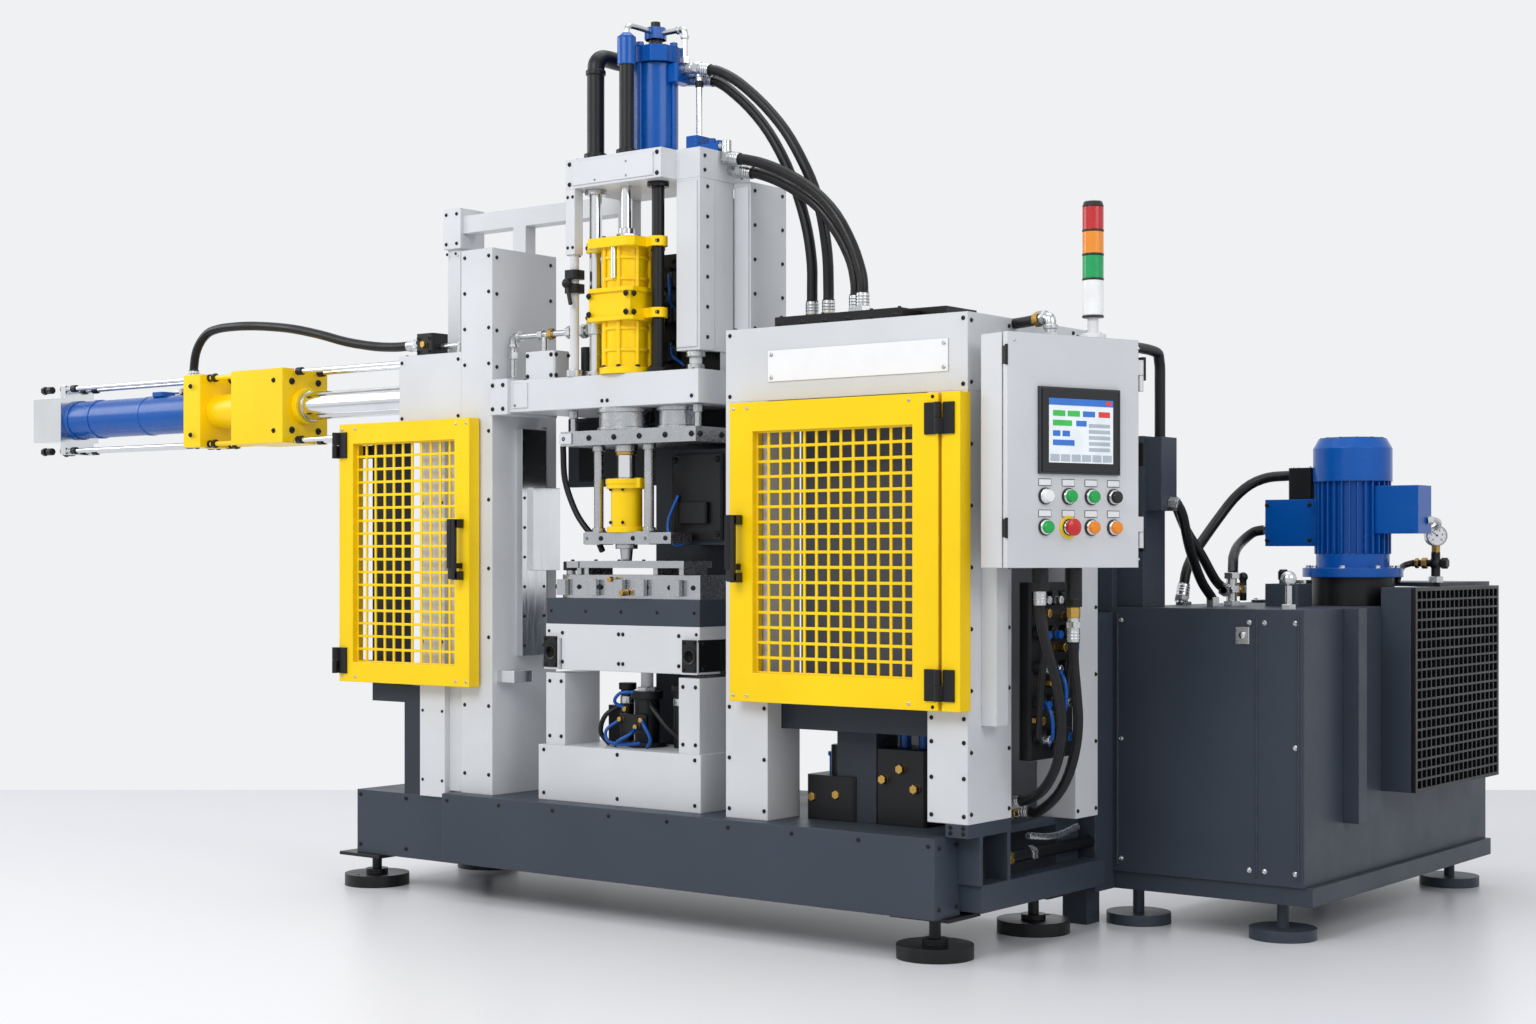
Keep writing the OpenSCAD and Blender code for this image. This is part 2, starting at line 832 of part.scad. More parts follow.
// The left door's fixed hinge half: it reaches round the door to the dark frame
module left_hinge_bracket(at, z) {
  rise = [z, z + hinge_h / 2];
  post(at, rise, hinge_r);
  post(at, [z + hinge_h / 2, z + hinge_h - 8], hinge_pin_r);
  span([at[0] - 14, at[0]], [at[1], front + 22], rise);
  span([at[0], -1006], [front + 10, front + 22], rise);
}

module hinge_pins()
  color("#202226") {
    for (z = hinge_lows) {
      hinge_half([right_hinge_x, hinge_y], z, 1, false);
      left_hinge_bracket([left_hinge_x, hinge_y], z);
    }
  }

base_beams();
base_deck();
base_left_wing();
base_right_end();
machine_feet();
right_bay_posts();
right_bay_top();
right_bay_panels();
dark_frames();
hinge_strip();
hinge_pins();
right_door();
right_door_fittings();
left_bay();
left_door();
left_door_fittings();
left_column();
rear_strut();
yoke_beam();
crosshead();
guide_columns();
tower_posts();
valve_boxes();
top_cylinder();
riser_pipes();
shoot_head();
shoot_rod();
blow_unit();
blow_cylinder();
blow_rods();
rear_panels();
pedestal();
lift_cylinder();
table();
platen();
core_box();
ram_frame();
ram_barrel();
ram_bracket();
control_box();
control_arms();
control_door();
operator_panel();
stack_light();
tank();
tank_skid();
hpu_pillars();
cooler_box();
cooler_grille();
drive_motor();
pump_fittings();
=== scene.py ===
import math
from itertools import product

import bmesh
import bpy
from mathutils import Matrix, Vector


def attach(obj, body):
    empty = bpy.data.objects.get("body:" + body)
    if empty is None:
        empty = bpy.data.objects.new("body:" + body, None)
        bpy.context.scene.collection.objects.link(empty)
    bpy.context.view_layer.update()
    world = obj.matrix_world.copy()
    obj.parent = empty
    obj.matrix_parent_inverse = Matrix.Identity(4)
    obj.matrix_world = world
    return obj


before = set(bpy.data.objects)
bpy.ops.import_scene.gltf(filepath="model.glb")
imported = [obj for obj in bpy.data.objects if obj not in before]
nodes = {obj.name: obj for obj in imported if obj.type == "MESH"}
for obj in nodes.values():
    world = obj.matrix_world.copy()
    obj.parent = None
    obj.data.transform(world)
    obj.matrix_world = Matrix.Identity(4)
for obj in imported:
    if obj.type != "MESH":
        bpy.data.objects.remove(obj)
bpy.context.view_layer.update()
scene = bpy.context.scene


# ---- node trees ----


def linear(h):
    """A colour written as six hex digits, as linear RGBA."""
    def one(v):
        v /= 255
        return v / 12.92 if v <= 0.04045 else ((v + 0.055) / 1.055) ** 2.4
    return [one(int(h[i:i + 2], 16)) for i in (0, 2, 4)] + [1.0]


def shade(colour, factor, lift=0.0):
    """A linear colour made darker or lighter."""
    return [min(1.0, c * factor + lift) for c in colour[:3]] + [1.0]


class Tree:
    """The node tree of a material or of the world, with short calls to build it."""

    def __init__(self, owner):
        owner.use_nodes = True
        self.owner = owner
        self.nt = owner.node_tree

    def feed(self, socket, value):
        """Link an output to an input, or set the input to a value."""
        if isinstance(value, bpy.types.NodeSocket):
            self.nt.links.new(value, socket)
        else:
            socket.default_value = value

    def node(self, kind, inputs=(), **settings):
        """A new node, with its inputs by name or number."""
        n = self.nt.nodes.new("ShaderNode" + kind)
        for key, value in settings.items():
            setattr(n, key, value)
        for key, value in dict(inputs).items():
            self.feed(n.inputs[key], value)
        return n

    def surface(self, inputs):
        """Set or link inputs of the material's shader."""
        for key, value in inputs.items():
            self.feed(self.nt.nodes["Principled BSDF"].inputs[key], value)

    def noise(self, scale, detail, stretch=None):
        at = self.node("TexCoord").outputs["Object"]
        if stretch:
            at = self.node("Mapping", {"Vector": at, "Scale": stretch}).outputs[0]
        return self.node("TexNoise", {"Vector": at, "Scale": scale, "Detail": detail}).outputs["Fac"]

    def ramp(self, value, lo, hi, to=(0.0, 1.0)):
        """A value between lo and hi, spread over a new range."""
        return self.node("MapRange", {"Value": value, "From Min": lo, "From Max": hi,
                                      "To Min": to[0], "To Max": to[1]}, clamp=True).outputs[0]

    def patches(self, scale, detail, lo, hi, to=(0.0, 1.0)):
        """Noise that goes from one value to another."""
        return self.ramp(self.noise(scale, detail), lo, hi, to)

    def mix(self, fac, a, b):
        return self.node("Mix", {0: fac, 6: a, 7: b}, data_type="RGBA").outputs[2]

    def math(self, operation, a, b):
        return self.node("Math", {0: a, 1: b}, operation=operation).outputs[0]

    def edges(self, radius):
        """A rounded normal, and how much each spot lies on an edge."""
        normal = self.node("Bevel", {"Radius": radius}, samples=4).outputs[0]
        flat = self.node("NewGeometry").outputs["Normal"]
        same = self.node("VectorMath", {0: normal, 1: flat}, operation="DOT_PRODUCT").outputs["Value"]
        return normal, self.ramp(same, 1.0, 0.8)

    def bump(self, height, strength, distance, **more):
        self.surface({"Normal": self.node("Bump", {"Height": height, "Strength": strength,
                                                   "Distance": distance, **more}).outputs[0]})


# ---- camera, lamps and floor ----

VIEW_TURN = math.radians(37.6)
CAMERA_AT = (4.146, -4.973, 1.026)
FLOOR_DEPTH = 9.69          # from the camera to the floor's far edge
FLOOR_NEAR = 26             # from the far edge to the near one
FLOOR_HALF = 14             # from the middle to a side


def add_camera():
    data = bpy.data.cameras.new("camera")
    data.lens = 51.56
    data.sensor_width = 36
    data.shift_y = 0.0293
    cam = bpy.data.objects.new("camera", data)
    cam.location = CAMERA_AT
    cam.rotation_euler = (math.pi / 2, 0, VIEW_TURN)
    scene.collection.objects.link(cam)
    scene.camera = cam


def add_area(name, at, look, size, power):
    data = bpy.data.lights.new(name, "AREA")
    data.shape = "RECTANGLE"
    data.size, data.size_y = size
    data.energy = power
    lamp = bpy.data.objects.new(name, data)
    lamp.location = at
    lamp.rotation_euler = (Vector(look) - Vector(at)).to_track_quat("-Z", "Y").to_euler()
    scene.collection.objects.link(lamp)


def add_world():
    """A studio that lights softly and is white where it is seen or mirrored."""
    scene.world = bpy.data.worlds.new("studio")
    t = Tree(scene.world)
    t.nt.nodes.clear()
    ray = t.node("LightPath").outputs
    seen = t.math("MAXIMUM", ray["Is Camera Ray"], ray["Is Transmission Ray"])
    seen = t.math("MAXIMUM", seen, ray["Is Glossy Ray"])
    light = t.node("Background", {"Color": linear("f2f4f8"), "Strength": 0.55}).outputs[0]
    white = t.node("Background", {"Color": linear("f0f1f3"), "Strength": 1.0}).outputs[0]
    both = t.node("MixShader", {0: seen, 1: light, 2: white}).outputs[0]
    t.node("OutputWorld", {"Surface": both})


def add_floor():
    view = Vector((-math.sin(VIEW_TURN), math.cos(VIEW_TURN), 0))
    side = Vector((view.y, -view.x, 0)) * FLOOR_HALF
    far = Vector(CAMERA_AT) + view * FLOOR_DEPTH
    far.z = 0
    near = far - view * FLOOR_NEAR
    mesh = bpy.data.meshes.new("floor")
    mesh.from_pydata([c[:] for c in (far - side, far + side, near + side, near - side)], [], [(0, 3, 2, 1)])
    floor = bpy.data.objects.new("floor", mesh)
    scene.collection.objects.link(floor)
    t = Tree(bpy.data.materials.new("floor"))
    t.surface({"Base Color": linear("e6e7eb"), "Roughness": 0.33, "Specular IOR Level": 0.35})
    mesh.materials.append(t.owner)


add_camera()
add_world()
add_floor()
add_area("key", (0.5, -6.5, 5.2), (0, 0, 1.0), (4.5, 3.0), 255)
add_area("fill", (7.0, -1.5, 4.2), (1.0, 0.3, 0.9), (4.0, 3.0), 120)
add_area("left", (-6.0, -3.0, 4.0), (-0.5, 0, 1.2), (3.5, 3.0), 110)
add_area("top", (0.3, 0.5, 6.5), (0.3, 0.3, 0), (5.0, 4.0), 115)
scene.view_settings.view_transform = "Standard"


# ---- materials ----


def painted(name, colour, rough, edge, edge_mix, coat=0.0, spec=0.28):
    """Sprayed paint: slight mottling, orange peel, and lighter edges that are partly wear, where the paint is
    thin or worn by rubbing, and partly a painted highlight.
    """
    t = Tree(bpy.data.materials.new(name))
    base = linear(colour)
    mottled = t.mix(t.patches(2.3, 4, 0.3, 0.7), shade(base, 0.90), shade(base, 1.04))
    normal, on_edge = t.edges(0.004)
    # the lighter edge colour is partly wear and partly a painted highlight along the edges
    chipped_and_highlit = t.math("MULTIPLY", on_edge, t.patches(45, 5, 0.42, 0.62))
    worn_and_highlit = t.math("MULTIPLY", chipped_and_highlit, edge_mix)
    t.surface({"Base Color": t.mix(worn_and_highlit, mottled, linear(edge)),
               "Roughness": t.patches(9, 5, 0.25, 0.75, (rough - 0.05, rough + 0.08)),
               "Specular IOR Level": spec, "Coat Weight": coat, "Coat Roughness": 0.12})
    t.bump(t.noise(420, 2), 0.12, 0.0006, Normal=normal)
    return t.owner


def metal(name, colour, rough, stain, grain=None):
    """Bare metal with turning or grinding marks and faint staining."""
    t = Tree(bpy.data.materials.new(name))
    base = linear(colour)
    marks = t.noise(130, 3, grain)
    t.surface({"Base Color": t.mix(t.patches(5, 2, 0.35, 0.75), base, shade(base, 1 - stain * 2.4)),
               "Roughness": t.ramp(marks, 0.3, 0.7, (rough * 0.7, rough * 1.35)), "Metallic": 1.0})
    t.bump(marks, 0.03, 0.0003, Normal=t.edges(0.002)[0])
    return t.owner


def rubber(name, colour, rough):
    """Hose rubber: a dull black with greyer patches worn by rubbing."""
    t = Tree(bpy.data.materials.new(name))
    base = linear(colour)
    t.surface({"Base Color": t.mix(t.patches(24, 5, 0.5, 0.8), base, shade(base, 2.2, 0.004)),
               "Roughness": t.patches(11, 3, 0.3, 0.7, (rough - 0.12, rough + 0.1)),
               "Specular IOR Level": 0.3})
    t.bump(t.noise(700, 2), 0.15, 0.0005)
    return t.owner


def plastic(name, colour, rough, glow=0.0, vary=0.88):
    """Moulded plastic, or a screen's lit field."""
    t = Tree(bpy.data.materials.new(name))
    base = linear(colour)
    tone = t.mix(t.patches(18, 3, 0.35, 0.7), base, shade(base, vary))
    t.surface({"Base Color": tone, "Roughness": t.patches(30, 3, 0.3, 0.7, (rough - 0.06, rough + 0.06))})
    if glow:
        t.surface({"Emission Color": tone, "Emission Strength": glow})
    t.bump(t.noise(600, 2), 0.08, 0.0004, Normal=t.edges(0.0015)[0])
    return t.owner


# in the paints, the fourth value is the edge colour: part wear, part painted highlight
M = {
    "grey": painted("grey_paint", "d2d4d7", 0.34, "f4f5f6", 0.30),
    "dark": painted("slate_paint", "38404b", 0.42, "7d848e", 0.30),
    "darker": painted("slate_paint_deep", "2c323b", 0.46, "7d848e", 0.30),
    # inner: a darker grey that is painted shade inside the right bay
    "inner": painted("bay_painted_shade", "5d5f66", 0.40, "8a8c92", 0.25),
    "yellow": painted("yellow_paint", "fdd204", 0.30, "fff0a8", 0.25, coat=0.05),
    "blue": painted("blue_enamel", "0052a6", 0.24, "3f78c8", 0.25, coat=0.1),
    "black": painted("black_paint", "101114", 0.36, "4a4c50", 0.25, spec=0.3),
    "chrome": metal("chrome", "e4e6e8", 0.13, 0.04, (1, 1, 0.06)),
    "steel": metal("machined_steel", "b9bbbe", 0.26, 0.05),
    "zinc": metal("zinc_plate", "cfd1d2", 0.26, 0.10),
    "brass": metal("brass", "c9a256", 0.26, 0.14),
    "rubber": rubber("hose_rubber", "0b0b0d", 0.38),
}

PLASTICS = {                # colour, roughness, glow, how dark its patches are
    "white_plate": ("ebecee", 0.40, 0, 0.97),
    "label_plate": ("ebecee", 0.40, 0, 0.97),
    "cap_white": ("f0f1f2", 0.25),
    "cap_green": ("12a84c", 0.25),
    "cap_red": ("c81e22", 0.22),
    "cap_orange": ("f08a1c", 0.25),
    "cap_yellow": ("f6cf12", 0.30),
    "screen_page": ("dfe6ea", 0.20, 0.25),
    "screen_blue": ("2f6cc0", 0.20, 0.25),
    "screen_green": ("37b24d", 0.20, 0.25),
    "screen_red": ("d43a3a", 0.20, 0.25),
    "screen_grey": ("a9b2bb", 0.20, 0.2),
    "band_white": ("f2f3f4", 0.18),
    "band_green": ("0f9d58", 0.16),
    "band_orange": ("f0912a", 0.16),
    "band_red": ("c1272d", 0.16),
    "panel_bezel": ("2a2f37", 0.40),
    "black_plastic": ("101114", 0.34),
    "lamp_plastic": ("e9eaec", 0.25),
}

for name, values in PLASTICS.items():
    M[name] = plastic(name, *values)

LOOK = {
    "grey": ("right_bay_posts right_bay_top right_bay_panels left_bay left_column rear_strut yoke_beam "
             "crosshead tower_posts pedestal table control_box control_arms control_door"),
    "dark": "base_beams base_deck base_left_wing base_right_end tank tank_skid hpu_pillars cooler_box platen",
    "darker": "dark_frames rear_panels",
    "yellow": "hinge_strip right_door left_door shoot_head blow_cylinder ram_bracket",
    "blue": "top_cylinder ram_barrel drive_motor",
    "black": ("machine_feet hinge_pins right_door_fittings left_door_fittings valve_boxes riser_pipes "
              "lift_cylinder cooler_grille pump_fittings"),
    "chrome": "guide_columns shoot_rod ram_frame",
    "steel": "blow_unit blow_rods core_box",
    "panel_bezel": "operator_panel",
    "lamp_plastic": "stack_light",
}

for look, names in LOOK.items():
    for name in names.split():
        if name in nodes:
            mesh = nodes[name].data
            mesh.materials.clear()
            mesh.materials.append(M[look])


# ---- shapes, in millimetres ----

MM = 0.001                  # in metres
FRONT = -310                # the bays' front face
AXIS_Y = -250               # the shoot axis
YOKE_TOP = 1544
BAY_TOP = 1641
CROSSHEAD_TOP = 2167
DOOR_FACE = -358
RAM = (-160, 1522)          # the side ram's axis
SIDES = [(1, 0), (-1, 0), (0, -1), (0, 1)]
UP, DOWN = (0, 0, 1), (0, 0, -1)
OUT, BACK = (0, -1, 0), (0, 1, 0)
RIGHT, LEFT = (1, 0, 0), (-1, 0, 0)


def curve_points(route, steps):
    """A smooth line through a route's points, with some steps between them."""
    p = [Vector(q) for q in route]
    p = [2 * p[0] - p[1]] + p + [2 * p[-1] - p[-2]]
    out = []
    for i in range(1, len(p) - 2):
        a, b, c, d = p[i - 1:i + 3]
        for k in range(steps):
            t = k / steps
            out.append(0.5 * (2 * b + (c - a) * t + (2 * a - 5 * b + 4 * c - d) * t * t
                              + (3 * b - a - 3 * c + d) * t ** 3))
    return out + [p[-2]]


def spread(a, b, n):
    """Some places at equal steps from a to b."""
    return [a + (b - a) * i / (n - 1) for i in range(n)]


def ring(at, r, n, turn=0):
    """Some places round a centre, the first one turned by some degrees."""
    turns = [math.radians(360 / n * k + turn) for k in range(n)]
    return [(at[0] + r * math.cos(w), at[1] + r * math.sin(w)) for w in turns]


def skin(rows, n):
    """Faces between rows of n points, with both ends closed."""
    faces = [[j * n + k, j * n + (k + 1) % n, (j + 1) * n + (k + 1) % n, (j + 1) * n + k]
             for j in range(rows - 1) for k in range(n)]
    return faces + [list(range(n))[::-1], [(rows - 1) * n + k for k in range(n)]]


class Piece:
    """Solids gathered into one object that rides on one body."""

    def __init__(self, name, body="machine", slot="black_metal", at=None):
        self.name, self.body, self.slot = name, body, slot
        self.at = at or Matrix.Identity(4)
        self.bm = bmesh.new()
        self.looks = []
        self.index = 0

    def use(self, look):
        """The look of the solids that follow."""
        if look not in self.looks:
            self.looks.append(look)
        self.index = self.looks.index(look)
        return self

    def add(self, points, faces):
        """One closed solid, in the look in use."""
        verts = [self.bm.verts.new(self.at @ Vector(p)) for p in points]
        for f in faces:
            face = self.bm.faces.new([verts[i] for i in f])
            face.material_index = self.index
            face.smooth = True

    def span(self, x, y, z):
        """A plain box."""
        points = [(x[i & 1], y[i >> 1 & 1], z[i >> 2]) for i in range(8)]
        self.add(points, [(0, 2, 3, 1), (4, 5, 7, 6), (0, 1, 5, 4), (2, 6, 7, 3), (0, 4, 6, 2), (1, 3, 7, 5)])

    def turned(self, a, b, profile, n=24):
        """A solid of revolution from a towards b: (radius, distance) pairs."""
        a, b = Vector(a), Vector(b)
        d = (b - a).normalized()
        u = d.cross(Vector((0, 1, 0.001)) if abs(d.y) < 0.9 else Vector((1, 0, 0))).normalized()
        v = d.cross(u)
        points = []
        for r, h in profile:
            for k in range(n):
                w = 2 * math.pi * k / n
                points.append(a + d * h + (u * math.cos(w) + v * math.sin(w)) * r)
        self.add(points, skin(len(profile), n))

    def rod(self, a, b, r, r2=None, n=24):
        """A round bar with small chamfers, which may taper to a second radius."""
        h = (Vector(b) - Vector(a)).length
        c = min(1.5, r * 0.15, h * 0.2)
        self.turned(a, b, [(r - c, 0), (r, c), (r2 or r, h - c), ((r2 or r) - c, h)], n)

    def post(self, at, z, r, r2=None, n=28):
        self.rod((*at, z[0]), (*at, z[1]), r, r2, n)

    def bar_x(self, x, yz, r, n=24):
        self.rod((x[0], *yz), (x[1], *yz), r, None, n)

    def bar_y(self, y, xz, r, n=24):
        self.rod((xz[0], y[0], xz[1]), (xz[0], y[1], xz[1]), r, None, n)

    def hexa(self, a, b, r):
        """A nut or hexagon bar, chamfered at b."""
        h = (Vector(b) - Vector(a)).length
        self.turned(a, b, [(r, 0), (r, h - 1), (r - 1.5, h)], 6)

    def hex_x(self, x, yz, r):
        self.hexa((x[0], *yz), (x[1], *yz), r)

    def hex_y(self, y, xz, r):
        self.hexa((xz[0], y[0], xz[1]), (xz[0], y[1], xz[1]), r)

    def hex_post(self, at, z, r):
        self.hexa((*at, z[0]), (*at, z[1]), r)

    def block(self, x, y, z, cut=6):
        """A box with its upright edges cut."""
        (a, b), (c, d) = x, y
        outline = [(a + cut, c), (b - cut, c), (b, c + cut), (b, d - cut),
                   (b - cut, d), (a + cut, d), (a, d - cut), (a, c + cut)]
        n = len(outline)
        points = [(*p, h) for h in z for p in outline]
        faces = [list(range(n))[::-1], list(range(n, 2 * n))]
        faces += [[k, (k + 1) % n, n + (k + 1) % n, n + k] for k in range(n)]
        self.add(points, faces)

    def tube(self, route, r, steps=5, n=12):
        """A bent pipe or a small hose through a route's points."""
        p = curve_points(route, steps)
        up = None
        points = []
        for i, q in enumerate(p):
            t = (p[min(i + 1, len(p) - 1)] - p[max(i - 1, 0)]).normalized()
            if up is None:
                up = t.cross(Vector((0.1, 1, 0.2))).normalized()
            up = (up - t * up.dot(t)).normalized()
            w = t.cross(up)
            points += [q + (up * math.cos(2 * math.pi * k / n) + w * math.sin(2 * math.pi * k / n)) * r
                       for k in range(n)]
        self.add(points, skin(len(p), n))

    def ball(self, at, r):
        rings = 10
        turns = [math.pi * i / rings for i in range(rings + 1)]
        profile = [(max(0.2, r * math.sin(w)), r - r * math.cos(w)) for w in turns]
        self.turned((at[0], at[1], at[2] - r), at, profile, 20)

    def bolt(self, at, d, r):
        """A socket head on a washer."""
        h = r * 0.85
        self.turned(at, Vector(at) + Vector(d), [
            (r * 1.45, -0.5), (r * 1.45, 1.2), (r, 1.3), (r, h), (r * 0.88, h + 0.8),
            (r * 0.52, h + 0.8), (r * 0.50, h * 0.4)], 12)

    def bolts(self, x, y, z, d, r=4):
        """Bolts at every mix of the places given: a number or several in each direction."""
        for at in product(*(v if isinstance(v, (tuple, list)) else [v] for v in (x, y, z))):
            self.bolt(at, d, r)

    def elbow(self, at, a, b, r, reach):
        """A bent fitting at a corner, with a collar on each end."""
        at, a, b = Vector(at), Vector(a), Vector(b)
        self.tube([at + a * reach, at + a * reach * 0.5, at + (a + b) * reach * 0.12, at + b * reach * 0.5,
                   at + b * reach], r, 4, 14)
        for d in (a, b):
            self.rod(at + d * reach * 0.8, at + d * (reach + 6), r * 1.35, n=20)

    def done(self):
        """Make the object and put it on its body."""
        mesh = bpy.data.meshes.new(self.name)
        bmesh.ops.recalc_face_normals(self.bm, faces=self.bm.faces)
        self.bm.to_mesh(mesh)
        self.bm.free()
        mesh.transform(Matrix.Scale(MM, 4))
        mesh.set_sharp_from_angle(angle=math.radians(35))
        for look in self.looks:
            mesh.materials.append(M[look])
        o = bpy.data.objects.new(self.name, mesh)
        scene.collection.objects.link(o)
        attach(o, self.body)


# ---- hoses and pipes ----

# the free hoses, which the CAD leaves out: radius, how many of the points lie inside
# the first fitting and inside the last one, and the points of the route
HOSES = {
    "top_outer_hose": (15, 2, 1, [
        (94, -118, 2426), (140, -118, 2420), (200, -118, 2410), (226, -117, 2404), (270, -115, 2382),
        (320, -114, 2348), (390, -110, 2286), (456, -104, 2211), (506, -97, 2130), (544, -88, 2046),
        (566, -80, 1960), (577, -70, 1858), (577, -65, 1770), (577, -65, 1733), (577, -65, 1712)]),
    "top_inner_hose": (15, 2, 1, [
        (84, -80, 2402), (130, -80, 2396), (182, -80, 2388), (206, -80, 2378), (242, -80, 2354),
        (312, -78, 2294), (378, -75, 2218), (435, -71, 2124), (477, -68, 2026), (506, -66, 1930),
        (520, -65, 1840), (521, -65, 1770), (521, -65, 1733), (521, -65, 1712)]),
    "crosshead_outer_hose": (15, 2, 2, [
        (288, -150, 2146), (310, -150, 2142), (333, -150, 2138), (358, -150, 2133), (421, -150, 2114),
        (508, -150, 2075), (593, -150, 2021), (664, -150, 1952), (716, -150, 1868), (745, -150, 1795),
        (752, -150, 1757), (752, -150, 1733), (752, -150, 1700), (752, -150, 1668)]),
    "crosshead_inner_hose": (15, 2, 1, [
        (290, -118, 2110), (320, -118, 2107), (352, -118, 2102), (377, -118, 2096), (434, -118, 2074),
        (508, -120, 2035), (584, -120, 1982), (650, -116, 1900), (688, -112, 1826), (702, -112, 1765),
        (702, -112, 1733), (702, -112, 1704)]),
    "ram_hose": (15, 2, 2, [
        (-2064, -160, 1616), (-2064, -160, 1640), (-2064, -160, 1668), (-2064, -160, 1682),
        (-2054, -160, 1728), (-2027, -160, 1768), (-1987, -160, 1795), (-1939, -160, 1805),
        (-1880, -160, 1808), (-1780, -160, 1806), (-1660, -160, 1796), (-1540, -160, 1780),
        (-1412, -160, 1754), (-1281, -160, 1722), (-1149, -160, 1700), (-1050, -160, 1692),
        (-992, -160, 1692), (-950, -160, 1688), (-868, -160, 1668)]),
    "control_left_hose": (13, 2, 2, [
        (1329, -200, 976), (1329, -200, 940), (1329, -200, 905), (1329, -200, 880), (1337, -196, 829),
        (1352, -186, 764), (1363, -170, 693), (1362, -150, 622), (1346, -128, 550), (1316, -106, 485),
        (1270, -86, 430), (1226, -78, 404), (1196, -74, 396), (1160, -74, 392), (1136, -74, 384)]),
    "control_right_hose": (13, 3, 2, [
        (1367, -100, 976), (1367, -100, 920), (1367, -100, 860), (1367, -100, 811), (1367, -100, 788),
        (1367, -96, 745), (1369, -88, 679), (1368, -78, 613), (1356, -68, 546), (1329, -56, 474),
        (1285, -42, 412), (1222, -30, 365), (1196, -30, 365), (1160, -30, 360), (1110, -30, 343)]),
    "motor_hose": (15, 2, 1, [
        (1474, 1130, 1263), (1440, 1130, 1265), (1410, 1130, 1266), (1380, 1130, 1266), (1329, 1122, 1262),
        (1281, 1106, 1242), (1242, 1076, 1200), (1214, 1030, 1140), (1196, 978, 1084), (1186, 925, 1034),
        (1183, 888, 990), (1182, 872, 945), (1182, 867, 905)]),
}


def lay_hose(name, r, points):
    """A free hose: a curve whose centre is the hose's own."""
    points = [p * MM for p in curve_points(points, 3)]
    data = bpy.data.curves.new(name, "CURVE")
    data.dimensions = "3D"
    data.bevel_depth = r * MM
    data.bevel_resolution = 4
    data.use_fill_caps = True
    spline = data.splines.new("POLY")
    spline.points.add(len(points) - 1)
    for q, p in zip(spline.points, points):
        q.co = (*p, 1)
    spline.use_smooth = True
    hose = bpy.data.objects.new(name, data)
    data.materials.append(M["rubber"])
    scene.collection.objects.link(hose)
    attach(hose, "machine")


for name, (r, _, _, points) in HOSES.items():
    lay_hose(name, r, points)


def hose_end(piece, name, stub, far=False, brass=False):
    """The ferrule, nut and stub that hold one end of a hose."""
    r, first, last, points = HOSES[name]
    a, b = map(Vector, points[::-1][last:last + 2] if far else points[first:first + 2])
    d = (a - b).normalized()
    piece.use("rubber").rod(a - d * 4, a + d * 8, r + 2)
    piece.use("zinc").rod(a, a + d * 36, r + 3)
    for k in (6, 14, 22):
        piece.rod(a + d * k, a + d * (k + 4), r + 4)
    piece.use("brass" if brass else "zinc").hexa(a + d * 36, a + d * 52, r + 7)
    piece.use("zinc").rod(a + d * 50, a + d * (52 + stub), r - 2)


